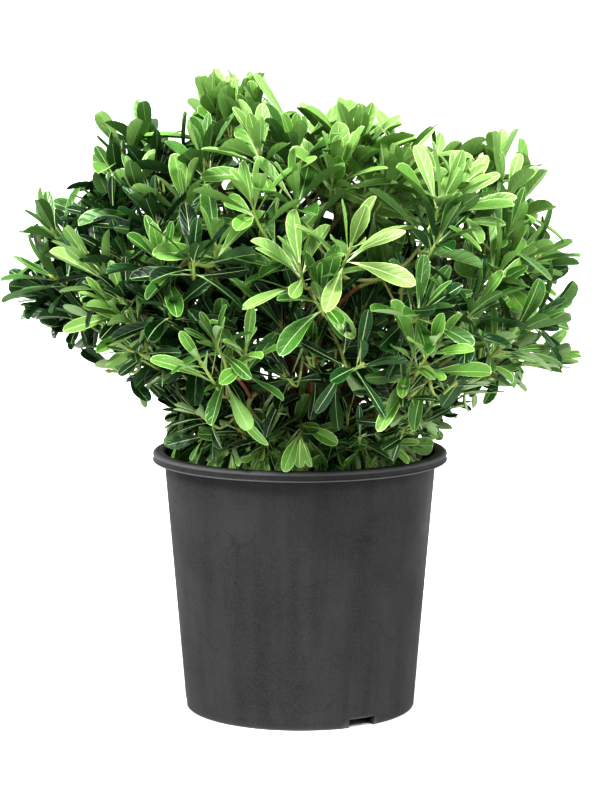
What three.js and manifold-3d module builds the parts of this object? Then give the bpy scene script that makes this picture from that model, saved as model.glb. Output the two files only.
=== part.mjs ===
// A leafy evergreen shrub in a round nursery pot, built as separate solids:
// pot, soil, short stem, boughs, and masses of foliage that each keep to their own space.
// Millimetres, +Z up. The origin is the centre of the pot's underside, and -Y faces the viewer.
import * as THREE from "three";
import { mergeVertices } from "three/addons/utils/BufferGeometryUtils.js";
import Module from "manifold-3d";

const wasm = await Module();
wasm.setup();

// Driving dimensions
const GAP = 0.3; // clearance between neighbouring solids
const SMALLEST_EDGE = 0.01; // slivers under this size are closed up
const SEED = 23;

const POT = {
  height: 265,
  rimRadius: 150, // outside of the rolled lip
  lipHeight: 10,
  lipWidth: 10.8, // from the wall's outer face to the lip's outer face
  wall: 2.4,
  footRadius: 117,
  footHeight: 9, // the base plate stands this far above the ground
  footWidth: 7,
  centreFootRadius: 28,
  draft: 2, // each foot is this much wider at the plate than on the ground
  segments: 40,
};
const NOTCH = { count: 3, width: 30, bearing: -58 }; // slots through the foot ring
const DRAIN = { count: 9, radius: 6, circle: 84, sides: 12 }; // round holes through the base plate

const SOIL = { top: 245, edgeDrop: 5, edgeWidth: 26, crownRadius: 44 };

const STEM = {
  height: 42,
  topRadius: 11,
  neckRadius: 13,
  flareRadius: 20,
  flareShare: 0.4, // of the stem's height
  lean: 4,
  sides: 12,
  steps: 7,
};

const BOUGH = { sides: 6, steps: 6, pull: 0.38 }; // pull sets how slowly a bough leaves its first direction
const MAIN_BOUGH = {
  radius: 5.8,
  tipRadius: 3.8,
  reach: 0.42, // share of the outline's distance
  leaveHeight: 17, // above the soil
  stagger: 9, // every second one leaves this much higher
  offAxis: 4,
  climb: 0.65, // rise for each step outwards as it leaves
};
const LEADER = { radius: 6, tipRadius: 4, reach: 0.44 };
const SIDE_BOUGH = {
  radius: 4.4,
  tipRadius: 3.2,
  reach: 0.4,
  leaveShare: 0.42, // of its carrier's length
  stagger: 0.1,
  climb: 1.25,
  arrivingClimb: 0.15,
  raised: 4, // degrees that a skirt bough's tip is above its mass's middle
};

// The crown is measured from a point above the soil: tilt 0 is straight up, 90 is level
const CROWN_BASE = new THREE.Vector3(0, 0, 300);
const OUTLINE = [
  // [tilt, distance to the leaf tips on the left, and on the right]
  [0, 346, 334],
  [10, 364, 318],
  [20, 374, 316],
  [34, 366, 350],
  [47, 354, 354],
  [58, 342, 332],
  [66, 326, 318],
  [71, 290, 314],
  [77, 226, 300],
  [82, 192, 272],
  [88, 174, 226],
  [95, 162, 180],
  [104, 146, 148],
];
const LOWEST_TILT = 103;
const TIP_ROOM = 15; // leaf tips may pass the outline by this much

// The rings of masses: tilt of their middles, how many, and the bearing of the first
const RINGS = [
  { name: "top", tilt: 17, count: 3, bearing: 165 },
  { name: "shoulder", tilt: 49, count: 6, bearing: -80 },
  { name: "skirt", tilt: 75, count: 6, bearing: -50 },
];
const MASS_MIDDLE = 0.66; // where a mass has its middle, as a share of the outline
const MASS_MARGIN = 1.2; // a mass stays this far inside its own space
const LIMB_CLEARANCE = 1.2; // and its twigs and leaves this far from every limb

const ROSETTES = {
  outer: 106,
  inner: 34,
  innerShare: 0.66, // how far out the inner ones are
  wanderTilt: 3,
  wanderBearing: 5,
  jitter: 0.07, // how much further in than the others one may be
  sunk: 0.66, // share of a leaf's length from a rosette out to the outline
  gather: 0.07, // share of the way that each is moved towards the line through its mass's middle
  rise: 0.66, // a rosette's axis has this share of its tilt
  thinning: 1.3, // power with which they get fewer where the crown is narrow
  tries: 5,
  drawIn: 0.12,
};
const TWIG = {
  sides: 3, // a whorl has as many leaves
  tipRadius: 2,
  thickening: 0.36, // power with which the radius grows with the rosettes carried
  forkShare: 0.42,
  arrival: 24, // straight run before its end
  longestStep: 50,
  room: 2.5, // to the pot and the soil
  checks: 12, // places at which it is held to its mass's space
};
const MASS_STEM = { length: 12, sides: 6, thicker: 1 };
const WHORLS = [
  // from the lowest: [how far the leaves lean from the shoot in degrees, their size as a share]
  [82, 1],
  [58, 0.98],
  [30, 0.86],
];
const WHORL = { spacing: 5.5, longestSpacing: 0.2, radius: 2.7, endRadius: 1.7 };
const LEAF = {
  length: 82,
  width: 30,
  widestAt: 0.64,
  tipWidth: 12,
  keel: 1.9,
  arch: 5,
  droop: 7,
  room: 0.5, // to the pot and the soil
};
// The freedom of a leaf's pose, in degrees, and how it grows with each try
const POSE = {
  tries: 10,
  turn: [8, 4],
  lean: [6, 3],
  roll: [14, 3],
  size: [0.07, -0.02],
};
const BARE_BELOW = 3; // a last shoot with fewer leaves than this is left out
const FRAME_STEPS = 60; // how finely a curve's directions are worked out
const GOLDEN_ANGLE = Math.PI * (3 - Math.sqrt(5));

const COLOURS = {
  pot: { color: 0x3a3b3b, roughness: 0.62, metalness: 0 },
  soil: { color: 0x33231a, roughness: 0.95, metalness: 0 },
  bark: { color: 0x76563d, roughness: 0.85, metalness: 0 },
  foliage: { color: 0x4c7c2f, roughness: 0.45, metalness: 0 },
};

// Helpers
function seededRandom(seed) {
  let state = seed >>> 0;
  return () => {
    state = (state + 0x6d2b79f5) >>> 0;
    let t = state;
    t = Math.imul(t ^ (t >>> 15), t | 1);
    t ^= t + Math.imul(t ^ (t >>> 7), t | 61);
    return ((t ^ (t >>> 14)) >>> 0) / 4294967296;
  };
}

const random = seededRandom(SEED);
const spread = (amount) => (random() * 2 - 1) * amount;
const radians = THREE.MathUtils.degToRad;

function closedMesh(positions, triangles) {
  const geometry = new THREE.BufferGeometry();
  geometry.setAttribute("position", new THREE.Float32BufferAttribute(positions, 3));
  geometry.setIndex(triangles);
  return geometry;
}

function solidFrom(geometry) {
  const plain = geometry.clone();
  plain.deleteAttribute("normal");
  plain.deleteAttribute("uv");
  const merged = mergeVertices(plain, 1e-3);
  return new wasm.Manifold(
    new wasm.Mesh({
      numProp: 3,
      vertProperties: merged.attributes.position.array,
      triVerts: new Uint32Array(merged.index.array),
    }),
  );
}

function geometryFrom(solid) {
  const { vertProperties, triVerts } = solid.getMesh();
  const geometry = new THREE.BufferGeometry();
  geometry.setAttribute("position", new THREE.BufferAttribute(vertProperties, 3));
  geometry.setIndex(new THREE.BufferAttribute(triVerts, 1));
  geometry.computeVertexNormals();
  return geometry;
}

// The largest body of a solid: loose scraps go, and sealed hollows are filled
function mainBody(solid) {
  return solid.decompose().reduce((a, b) => (b.volume() > a.volume() ? b : a));
}

// A solid of revolution about Z from a profile of [radius, height] points that starts and ends on the axis
function turned(profile) {
  const points = profile.map(([radius, height]) => new THREE.Vector2(radius, height));
  return solidFrom(new THREE.LatheGeometry(points, POT.segments).rotateX(Math.PI / 2));
}

// Pot: a tapered wall with a rolled lip, a raised base plate, a slotted foot ring and a foot in the middle
function wallRadiusAt(height) {
  const top = POT.rimRadius - POT.lipWidth;
  return THREE.MathUtils.mapLinear(height, 0, POT.height, POT.footRadius, top);
}

function makePot() {
  const { height, rimRadius, lipHeight, wall, footRadius, footHeight, footWidth, draft } = POT;
  const plateTop = footHeight + wall;
  const lipFoot = height - lipHeight;
  const innerTop = wallRadiusAt(height) - wall;
  const body = turned([
    [0, 0],
    [POT.centreFootRadius, 0],
    [POT.centreFootRadius + draft, footHeight],
    [footRadius - footWidth, footHeight],
    [footRadius - footWidth + draft / 2, 0],
    [footRadius, 0],
    [wallRadiusAt(height - wall), height - wall],
    [rimRadius - wall, height - wall - 0.6],
    [rimRadius - wall, lipFoot],
    [rimRadius, lipFoot],
    [rimRadius, height - 2.6],
    [rimRadius - 1.4, height - 0.6],
    [rimRadius - 4, height],
    [innerTop + 4, height],
    [innerTop + 1, height - 1],
    [innerTop, height - 4],
    [wallRadiusAt(plateTop) - wall, plateTop],
    [0, plateTop],
  ]);
  const cuts = [];
  for (let i = 0; i < NOTCH.count; i++) {
    const slot = new THREE.BoxGeometry(4 * footWidth, NOTCH.width, 2 * footHeight)
      .translate(footRadius, 0, 0)
      .rotateZ(radians(NOTCH.bearing + (i * 360) / NOTCH.count));
    cuts.push(solidFrom(slot));
  }
  for (let i = 0; i < DRAIN.count; i++) {
    const hole = new THREE.CylinderGeometry(DRAIN.radius, DRAIN.radius, 3 * plateTop, DRAIN.sides)
      .rotateX(Math.PI / 2)
      .translate(DRAIN.circle, 0, 0)
      .rotateZ(radians((i * 360) / DRAIN.count));
    cuts.push(solidFrom(hole));
  }
  return cuts.reduce((pot, cut) => pot.subtract(cut), body);
}

// Soil: it fills the pot from the base plate to a little under the lip
function makeSoil() {
  const bottom = POT.footHeight + POT.wall + GAP;
  const edge = (height) => wallRadiusAt(height) - POT.wall - GAP;
  const edgeTop = SOIL.top - SOIL.edgeDrop;
  return turned([
    [0, bottom],
    [edge(bottom), bottom],
    [edge(edgeTop), edgeTop],
    [edge(edgeTop) - SOIL.edgeWidth, SOIL.top - 1],
    [SOIL.crownRadius, SOIL.top],
    [0, SOIL.top],
  ]);
}

// Limbs: closed tapered tubes along curves
function taperedTube(curve, radiusAt, sides, steps) {
  const frames = curve.computeFrenetFrames(steps);
  const positions = [];
  const triangles = [];
  for (let i = 0; i <= steps; i++) {
    const centre = curve.getPointAt(i / steps);
    for (let j = 0; j < sides; j++) {
      const turn = (j * 2 * Math.PI) / sides;
      const vertex = centre
        .clone()
        .addScaledVector(frames.normals[i], radiusAt(i / steps) * Math.cos(turn))
        .addScaledVector(frames.binormals[i], radiusAt(i / steps) * Math.sin(turn));
      positions.push(vertex.x, vertex.y, vertex.z);
    }
  }
  for (let i = 0; i < steps; i++) {
    for (let j = 0; j < sides; j++) {
      const a = i * sides + j;
      const b = i * sides + ((j + 1) % sides);
      triangles.push(a, b, a + sides, b, b + sides, a + sides);
    }
  }
  const last = steps * sides;
  for (let j = 1; j < sides - 1; j++) {
    triangles.push(0, j + 1, j, last, last + j, last + j + 1);
  }
  return closedMesh(positions, triangles);
}

function crownDirection(tilt, bearing) {
  const level = Math.sin(radians(tilt));
  return new THREE.Vector3(
    level * Math.cos(radians(bearing)),
    level * Math.sin(radians(bearing)),
    Math.cos(radians(tilt)),
  );
}

function outlineAt(tilt, bearing) {
  const level = Math.min(tilt, LOWEST_TILT);
  const next = Math.max(1, OUTLINE.findIndex(([t]) => t >= level));
  const [t0, left0, right0] = OUTLINE[next - 1];
  const [t1, left1, right1] = OUTLINE[next];
  const share = (level - t0) / (t1 - t0);
  const rightness = (1 + Math.cos(radians(bearing))) / 2;
  const left = THREE.MathUtils.lerp(left0, left1, share);
  return THREE.MathUtils.lerp(left, THREE.MathUtils.lerp(right0, right1, share), rightness);
}

// A point in the crown: a share of the way from the crown's base to its outline
function crownPoint(tilt, bearing, share) {
  const reach = share * outlineAt(tilt, bearing);
  return crownDirection(tilt, bearing).multiplyScalar(reach).add(CROWN_BASE);
}

// A limb keeps its curve, so that foliage can be kept clear of it
const limbs = [];

function makeLimb({ name, curve, radiusAt, sides, steps, clearOf }) {
  const limb = { name, curve, radiusAt, tip: curve.getPointAt(1), heading: curve.getTangentAt(1) };
  const grownBy = (room) => solidFrom(taperedTube(curve, (t) => radiusAt(t) + room, sides, steps));
  limb.solid = grownBy(0);
  limb.grown = grownBy(GAP);
  limb.shelter = grownBy(LIMB_CLEARANCE);
  if (clearOf) limb.solid = mainBody(limb.solid.subtract(clearOf));
  limbs.push(limb);
  return limb;
}

const taper = (from, to) => (t) => THREE.MathUtils.lerp(from, to, t);

function makeStem() {
  const foot = new THREE.Vector3(0, 0, SOIL.top + GAP);
  const top = new THREE.Vector3(STEM.lean, -STEM.lean / 2, SOIL.top + STEM.height);
  const flare = (t) => {
    const neck = THREE.MathUtils.lerp(STEM.neckRadius, STEM.topRadius, t);
    return neck + (STEM.flareRadius - STEM.neckRadius) * Math.max(0, 1 - t / STEM.flareShare) ** 2;
  };
  const bend = new THREE.Vector3(0, 0, SOIL.top + STEM.height / 2);
  const curve = new THREE.QuadraticBezierCurve3(foot, bend, top);
  return makeLimb({ name: "stem", curve, radiusAt: flare, sides: STEM.sides, steps: STEM.steps });
}

// A bough leaves its carrier at a point, and bends up or out to its mass
function makeBough(name, start, leaving, end, arriving, size, clearOf) {
  const pull = start.distanceTo(end) * BOUGH.pull;
  const curve = new THREE.CubicBezierCurve3(
    start,
    start.clone().addScaledVector(leaving, pull),
    end.clone().addScaledVector(arriving, -pull),
    end,
  );
  const radiusAt = taper(size.radius, size.tipRadius);
  return makeLimb({ name, curve, radiusAt, sides: BOUGH.sides, steps: BOUGH.steps, clearOf });
}

// Masses: one for each place in the rings, with a middle that sets its space
function layOutMasses() {
  return RINGS.flatMap((ring) =>
    Array.from({ length: ring.count }, (_, i) => {
      const bearing = ring.bearing + (i * 360) / ring.count;
      const middle = crownPoint(ring.tilt, bearing, MASS_MIDDLE);
      return { name: `foliage_${ring.name}_${i + 1}`, ring, bearing, middle, rosettes: [] };
    }),
  );
}

const masses = layOutMasses();
const inRing = (name) => masses.filter((mass) => mass.ring.name === name);

// Every mass has a bough: main boughs carry the shoulders, their side boughs the skirt, and the leader with its
// own side boughs the top
function makeBoughs(stem) {
  const bearingOf = (mass) => crownDirection(90, mass.bearing);
  const wayTo = (mass) => mass.middle.clone().sub(CROWN_BASE).normalize();
  const climbing = (outward, climb) => new THREE.Vector3(0, 0, climb).add(outward).normalize();

  const mains = inRing("shoulder").map((mass, i) => {
    const outward = bearingOf(mass);
    const height = SOIL.top + MAIN_BOUGH.leaveHeight + (i % 2) * MAIN_BOUGH.stagger;
    const start = new THREE.Vector3(0, 0, height).addScaledVector(outward, MAIN_BOUGH.offAxis);
    const leaving = climbing(outward, MAIN_BOUGH.climb);
    const end = crownPoint(mass.ring.tilt, mass.bearing, MAIN_BOUGH.reach);
    mass.bough = makeBough(`bough_main_${i + 1}`, start, leaving, end, wayTo(mass), MAIN_BOUGH, stem.grown);
    return mass.bough;
  });

  const [first, ...others] = inRing("top");
  const leaderStart = stem.tip.clone().addScaledVector(stem.heading, GAP);
  const leaderEnd = crownPoint(first.ring.tilt, first.bearing, LEADER.reach);
  const leader = makeBough("bough_leader", leaderStart, stem.heading, leaderEnd, wayTo(first), LEADER);
  first.bough = leader;
  others.forEach((mass, i) => {
    const start = leader.curve.getPointAt(SIDE_BOUGH.leaveShare + SIDE_BOUGH.stagger * i);
    const leaving = climbing(bearingOf(mass), SIDE_BOUGH.climb);
    const end = crownPoint(mass.ring.tilt, mass.bearing, SIDE_BOUGH.reach);
    mass.bough = makeBough(`bough_top_${i + 1}`, start, leaving, end, wayTo(mass), SIDE_BOUGH, leader.grown);
  });

  inRing("skirt").forEach((mass, i) => {
    const turnTo = (main) => main.heading.angleTo(bearingOf(mass));
    const carrier = mains.reduce((a, b) => (turnTo(b) < turnTo(a) ? b : a));
    const start = carrier.curve.getPointAt(SIDE_BOUGH.leaveShare - SIDE_BOUGH.stagger * (i % 2));
    const end = crownPoint(mass.ring.tilt - SIDE_BOUGH.raised, mass.bearing, SIDE_BOUGH.reach);
    const leaving = end.clone().sub(start).normalize();
    const arriving = climbing(bearingOf(mass), SIDE_BOUGH.arrivingClimb);
    mass.bough = makeBough(`bough_side_${i + 1}`, start, leaving, end, arriving, SIDE_BOUGH, carrier.grown);
  });
}

// Space: a mass owns the points that lie nearer to its middle than to any other, clear of pot and soil
function ownsPoint(mass, point) {
  const own = point.distanceTo(mass.middle) + 2 * MASS_MARGIN;
  return masses.every((other) => other === mass || own < point.distanceTo(other.middle));
}

function clearOfPot(point, room) {
  const level = Math.hypot(point.x, point.y);
  const insideMouth = level < wallRadiusAt(POT.height) - POT.wall - room - 1;
  return point.z > room + (insideMouth ? SOIL.top : POT.height) + 1;
}

function insideOutline(point) {
  const { x, y, z } = point.clone().sub(CROWN_BASE);
  const tilt = THREE.MathUtils.radToDeg(Math.atan2(Math.hypot(x, y), z));
  const bearing = THREE.MathUtils.radToDeg(Math.atan2(y, x));
  return point.distanceTo(CROWN_BASE) < outlineAt(tilt, bearing) + TIP_ROOM;
}

function fits(mass, points, room) {
  return points.every((p) => ownsPoint(mass, p) && clearOfPot(p, room) && insideOutline(p));
}

// Rosettes: tufts of leaves spread evenly over the outline by the golden angle, with some further in
function placeRosettes() {
  const lay = (count, share) => {
    const lowest = Math.cos(radians(LOWEST_TILT));
    for (let i = 0; i < count; i++) {
      const height = 1 - ((i + 0.5) / count) * (1 - lowest);
      const tilt = THREE.MathUtils.radToDeg(Math.acos(height)) + spread(ROSETTES.wanderTilt);
      const bearing = THREE.MathUtils.radToDeg(i * GOLDEN_ANGLE) + spread(ROSETTES.wanderBearing);
      const outer = crownPoint(tilt, bearing, 1);
      if (random() > (outlineAt(tilt, bearing) / OUTLINE[0][1]) ** ROSETTES.thinning) continue;
      const mass = masses.reduce((a, b) =>
        b.middle.distanceTo(outer) < a.middle.distanceTo(outer) ? b : a,
      );
      const depth = share * (1 - random() * ROSETTES.jitter);
      const inward = crownDirection(tilt, bearing).negate();
      const point = crownPoint(tilt, bearing, depth).addScaledVector(inward, ROSETTES.sunk * LEAF.length);
      const spine = mass.middle.clone().sub(CROWN_BASE).setLength(point.distanceTo(CROWN_BASE));
      point.lerp(spine.add(CROWN_BASE), ROSETTES.gather);
      mass.rosettes.push({ point, axis: crownDirection(tilt * ROSETTES.rise, bearing), pulls: 0 });
    }
  };
  lay(ROSETTES.outer, 1);
  lay(ROSETTES.inner, ROSETTES.innerShare);
}

const centroid = (points) =>
  points.reduce((sum, p) => sum.add(p), new THREE.Vector3()).divideScalar(points.length);

// Leaf: it grows out of one triangular face of its shoot, is keeled underneath, widest beyond its middle,
// and blunt at its tip. The site gives the face's corners, lowest first, then right and left.
function leafShape(site, along, across, size) {
  const face = along.clone().cross(across).normalize();
  const root = centroid(site);
  const length = LEAF.length * size;
  const wide = (LEAF.width * size) / 2;
  const blunt = (LEAF.tipWidth * size) / 2;
  const at = (side, distance, rise) =>
    root
      .clone()
      .addScaledVector(across, side)
      .addScaledVector(along, distance)
      .addScaledVector(face, rise);
  return [
    at(0, LEAF.widestAt * length, LEAF.arch - LEAF.keel),
    at(wide, LEAF.widestAt * length, LEAF.arch),
    at(-wide, LEAF.widestAt * length, LEAF.arch),
    at(blunt, length, -LEAF.droop),
    at(-blunt, length, -LEAF.droop),
  ];
}

// The faces of a leaf, from the numbers of its site's corners and of the first of its own five
function leafFaces([low, right, left], first) {
  const [keel, wideRight, wideLeft, tipRight, tipLeft] = [0, 1, 2, 3, 4].map((n) => first + n);
  return [
    [low, right, wideRight],
    [low, wideRight, keel],
    [right, left, wideLeft],
    [right, wideLeft, wideRight],
    [left, low, keel],
    [left, keel, wideLeft],
    [wideRight, wideLeft, tipLeft],
    [wideRight, tipLeft, tipRight],
    [wideLeft, keel, tipLeft],
    [keel, wideRight, tipRight],
    [keel, tipRight, tipLeft],
  ];
}

const flat = (points) => points.flatMap((p) => [p.x, p.y, p.z]);

function leafSolid(site, own) {
  const faces = [...leafFaces([0, 1, 2], 3), [0, 2, 1]];
  return solidFrom(closedMesh(flat([...site, ...own]), faces.flat()));
}

function boxesMeet(a, b) {
  const [p, q] = [a.boundingBox(), b.boundingBox()];
  return [0, 1, 2].every((n) => p.min[n] < q.max[n] && q.min[n] < p.max[n]);
}

const crosses = (solid, others) =>
  others.some((other) => boxesMeet(solid, other) && solid.intersect(other).volume() > 1e-6);

// A shoot: a twig along a curve that passes its forks, with a stack of whorls at its end. Each ring of a
// whorl is turned by half a side from the one below, and a leaf grows from every face that points downwards.
function makeShoot(curve, bends, radii) {
  const { sides } = TWIG;
  const points = [];
  const triangles = [];
  const sites = [];
  const step = Math.min(WHORL.longestSpacing, WHORL.spacing / curve.getLength());
  const whorlStart = 1 - WHORLS.length * step;
  const bare = bends.filter((t) => t < whorlStart - step);
  const stations = [...bare, ...WHORLS.map((_, n) => whorlStart + n * step), 1];
  const frames = curve.computeFrenetFrames(FRAME_STEPS);
  const turn = random() * 2 * Math.PI;
  stations.forEach((t, ring) => {
    const whorl = Math.max(0, ring - bare.length);
    const atWhorl = whorl === WHORLS.length ? WHORL.endRadius : WHORL.radius;
    const radius = ring < bare.length ? THREE.MathUtils.lerp(...radii, t) : atWhorl;
    const frame = Math.round(t * FRAME_STEPS);
    for (let j = 0; j < sides; j++) {
      const angle = turn + ((2 * j + whorl) * Math.PI) / sides;
      const corner = curve
        .getPointAt(t)
        .addScaledVector(frames.normals[frame], radius * Math.cos(angle))
        .addScaledVector(frames.binormals[frame], radius * Math.sin(angle));
      points.push(corner);
    }
    if (ring === 0) return;
    for (let j = 0; j < sides; j++) {
      const a = sides * (ring - 1) + j;
      const b = sides * (ring - 1) + ((j + 1) % sides);
      triangles.push([a, b, a + sides]);
      if (whorl === 0) triangles.push([b, b + sides, a + sides]);
      else sites.push({ corners: [b, b + sides, a + sides], whorl: whorl - 1, t });
    }
  });
  const end = points.length;
  triangles.push([0, 2, 1], [end - 3, end - 2, end - 1]);
  const closed = [...triangles, ...sites.map(({ corners }) => corners)].flat();
  return { curve, points, triangles, sites, bare: solidFrom(closedMesh(flat(points), closed)) };
}

const freedom = ([first, more], tries) => first + more * tries;

// Tries a few poses for the leaf of one site, and keeps the first that has room
function addLeaf(mass, shoot, site) {
  const corners = site.corners.map((n) => shoot.points[n]);
  const axis = shoot.curve.getTangentAt(1);
  const hub = shoot.curve.getPointAt(site.t);
  const straightOut = centroid(corners).sub(hub).projectOnPlane(axis).normalize();
  const [lean, size] = WHORLS[site.whorl];
  for (let i = 0; i < POSE.tries; i++) {
    const outward = straightOut.clone().applyAxisAngle(axis, radians(spread(freedom(POSE.turn, i))));
    const tilt = radians(lean + spread(freedom(POSE.lean, i)));
    const along = axis
      .clone()
      .multiplyScalar(Math.cos(tilt))
      .addScaledVector(outward, Math.sin(tilt));
    const across = axis
      .clone()
      .cross(outward)
      .applyAxisAngle(along, radians(spread(freedom(POSE.roll, i))));
    const own = leafShape(corners, along, across, size * (1 + spread(POSE.size[0]) + POSE.size[1] * i));
    const halfway = own[0].clone().lerp(corners[0], 0.5);
    if (!fits(mass, [...own, halfway], LEAF.room)) continue;
    const solid = leafSolid(corners, own);
    if (crosses(solid, mass.blockers)) continue;
    mass.blockers.push(solid);
    site.own = own;
    return;
  }
}

const leavesOn = (shoot) => shoot.sites.filter((site) => site.own).length;

function shootSolid({ points, triangles, sites }) {
  const corners = [...points];
  const faces = [...triangles];
  sites.forEach((site) => {
    if (!site.own) return faces.push(site.corners);
    faces.push(...leafFaces(site.corners, corners.length));
    corners.push(...site.own);
  });
  return solidFrom(closedMesh(flat(corners), faces.flat()));
}

// A twig thickens with the number of rosettes that it carries
const twigRadius = (carried) => TWIG.tipRadius * carried ** TWIG.thickening;

// Splits rosettes into two groups across the direction in which they lie furthest apart, larger group first
function splitGroup(rosettes) {
  let pair = [rosettes[0], rosettes[1]];
  const apart = ([a, b]) => a.point.distanceTo(b.point);
  rosettes.forEach((a) => rosettes.forEach((b) => (pair = apart([a, b]) > apart(pair) ? [a, b] : pair)));
  const nearer = (r) => r.point.distanceTo(pair[0].point) < r.point.distanceTo(pair[1].point);
  const groups = [rosettes.filter(nearer), rosettes.filter((r) => !nearer(r))];
  return groups.sort((a, b) => b.length - a.length);
}

// The way of a twig from one fork to the next, and at last to one rosette. Each fork sends off the smaller
// group.
function planTwig(from, rosettes) {
  const way = [from];
  const forks = [];
  let group = rosettes;
  while (group.length > 1) {
    const [kept, leaving] = splitGroup(group);
    way.push(way.at(-1).clone().lerp(centroid(group.map((r) => r.point)), TWIG.forkShare));
    forks.push({ point: way.at(-1), rosettes: leaving });
    group = kept;
  }
  const [{ point, axis }] = group;
  way.push(point.clone().addScaledVector(axis, -TWIG.arrival), point);
  return { way, forks, end: group[0] };
}

// The places along a curve at which its twig bends: its forks, and more between them where they lie far apart
function bendsOf(curve, count) {
  const lengths = curve.getLengths((count - 1) * FRAME_STEPS);
  const total = lengths.at(-1);
  const bends = [0];
  for (let i = 1; i < count; i++) {
    const t = lengths[i * FRAME_STEPS] / total;
    const parts = Math.ceil(((t - bends.at(-1)) * total) / TWIG.longestStep);
    const start = bends.at(-1);
    for (let n = 1; n <= parts; n++) bends.push(start + ((t - start) * n) / parts);
  }
  return bends;
}

// The branching rule: a twig grows to one of its rosettes, and its forks carry the others in the same way.
// A rosette that can't be reached inside the mass's space and clear of the limbs is drawn in a little towards
// the mass's middle, and after a few such tries it is given up.
function growTwig(mass, from, rosettes) {
  if (rosettes.length === 0) return null;
  const { way, forks, end } = planTwig(from, rosettes);
  const curve = new THREE.CatmullRomCurve3(way, false, "centripetal");
  const radii = [twigRadius(rosettes.length), TWIG.tipRadius];
  const inside = curve.getSpacedPoints(TWIG.checks).slice(from === mass.root ? 3 : 2);
  const shoot = fits(mass, inside, TWIG.room) && makeShoot(curve, bendsOf(curve, way.length), radii);
  if (!shoot || crosses(shoot.bare, mass.shelters)) {
    end.point.lerp(mass.middle, ROSETTES.drawIn);
    end.pulls++;
    return growTwig(mass, from, rosettes.filter((r) => r !== end || r.pulls < ROSETTES.tries));
  }
  mass.shoots.push(shoot);
  shoot.carries = forks.map((fork) => growTwig(mass, fork.point, fork.rosettes)).filter(Boolean);
  return shoot;
}

// Each mass is one stem, 0.3 mm clear of its bough's tip, with its twigs and leaves fused on
function makeMass(mass) {
  const { tip, heading } = mass.bough;
  const radius = twigRadius(mass.rosettes.length);
  const start = tip.clone().addScaledVector(heading, GAP);
  mass.root = start.clone().addScaledVector(heading, MASS_STEM.length / 2);
  const line = new THREE.LineCurve3(start, start.clone().addScaledVector(heading, MASS_STEM.length));
  const stem = solidFrom(taperedTube(line, taper(radius + MASS_STEM.thicker, radius), MASS_STEM.sides, 1));
  mass.shelters = limbs.map((limb) => limb.shelter);
  mass.shoots = [];
  growTwig(mass, mass.root, mass.rosettes);
  mass.blockers = [stem, ...mass.shelters, ...mass.shoots.map((shoot) => shoot.bare)];
  WHORLS.forEach((_, whorl) =>
    mass.shoots.forEach((shoot) =>
      shoot.sites.filter((site) => site.whorl === whorl).forEach((site) => addLeaf(mass, shoot, site)),
    ),
  );
  const kept = mass.shoots.filter((shoot) => shoot.carries.length > 0 || leavesOn(shoot) >= BARE_BELOW);
  return mainBody(wasm.Manifold.union([stem, ...kept.map(shootSolid)])).simplify(SMALLEST_EDGE);
}

// Assembly
const shrub = new THREE.Group();

function addNode(name, solid, { color, roughness, metalness }) {
  const material = new THREE.MeshStandardMaterial({ color, roughness, metalness });
  const mesh = new THREE.Mesh(geometryFrom(solid), material);
  mesh.name = name;
  shrub.add(mesh);
}

const stem = makeStem();
makeBoughs(stem);
placeRosettes();

addNode("pot", makePot(), COLOURS.pot);
addNode("soil", makeSoil(), COLOURS.soil);
limbs.forEach(({ name, solid }) => addNode(name, solid, COLOURS.bark));
masses.forEach((mass) => addNode(mass.name, makeMass(mass), COLOURS.foliage));

export default shrub;
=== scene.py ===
import bpy
import math
import random
import numpy as np
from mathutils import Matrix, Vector, noise


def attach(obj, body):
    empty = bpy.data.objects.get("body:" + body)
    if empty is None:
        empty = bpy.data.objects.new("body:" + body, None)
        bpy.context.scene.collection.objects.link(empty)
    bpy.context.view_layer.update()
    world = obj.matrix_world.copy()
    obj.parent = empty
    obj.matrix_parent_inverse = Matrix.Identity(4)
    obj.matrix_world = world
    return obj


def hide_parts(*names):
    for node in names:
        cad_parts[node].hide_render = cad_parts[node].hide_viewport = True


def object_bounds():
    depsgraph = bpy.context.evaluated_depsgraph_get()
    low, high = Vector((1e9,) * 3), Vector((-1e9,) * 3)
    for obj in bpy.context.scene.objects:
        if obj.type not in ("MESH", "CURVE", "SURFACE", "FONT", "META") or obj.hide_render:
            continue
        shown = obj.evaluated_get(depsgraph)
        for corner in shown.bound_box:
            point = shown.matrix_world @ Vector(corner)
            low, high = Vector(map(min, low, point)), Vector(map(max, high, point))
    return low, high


# Japanese pittosporum in a nursery pot: pot, soil, bark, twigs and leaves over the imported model.
# Lengths are in millimetres and angles in degrees, and mm takes a length to Blender's metres
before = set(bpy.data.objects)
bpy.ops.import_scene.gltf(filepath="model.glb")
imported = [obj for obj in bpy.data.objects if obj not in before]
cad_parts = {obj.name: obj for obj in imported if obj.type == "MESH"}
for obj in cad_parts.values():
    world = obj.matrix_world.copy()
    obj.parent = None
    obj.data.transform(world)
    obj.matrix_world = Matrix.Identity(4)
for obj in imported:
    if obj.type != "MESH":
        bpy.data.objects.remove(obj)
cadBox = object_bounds()
mm = 0.001


def printStage(words):
    print("stage:", words)


printStage(f"frame of {len(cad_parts)} solids")


# Curves: a limb is an array of points at even steps along it
def stepsOf(points):
    return np.linalg.norm(np.diff(points, axis=0), axis=1)


def atShare(points, share):
    along = np.concatenate([[0], np.cumsum(stepsOf(points))])
    place = np.clip(share, 0, 1) * along[-1]
    return np.array([np.interp(place, along, points[:, axis]) for axis in range(3)]).T


def evenSteps(points, count):
    return atShare(points, np.linspace(0, 1, count))


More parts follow.
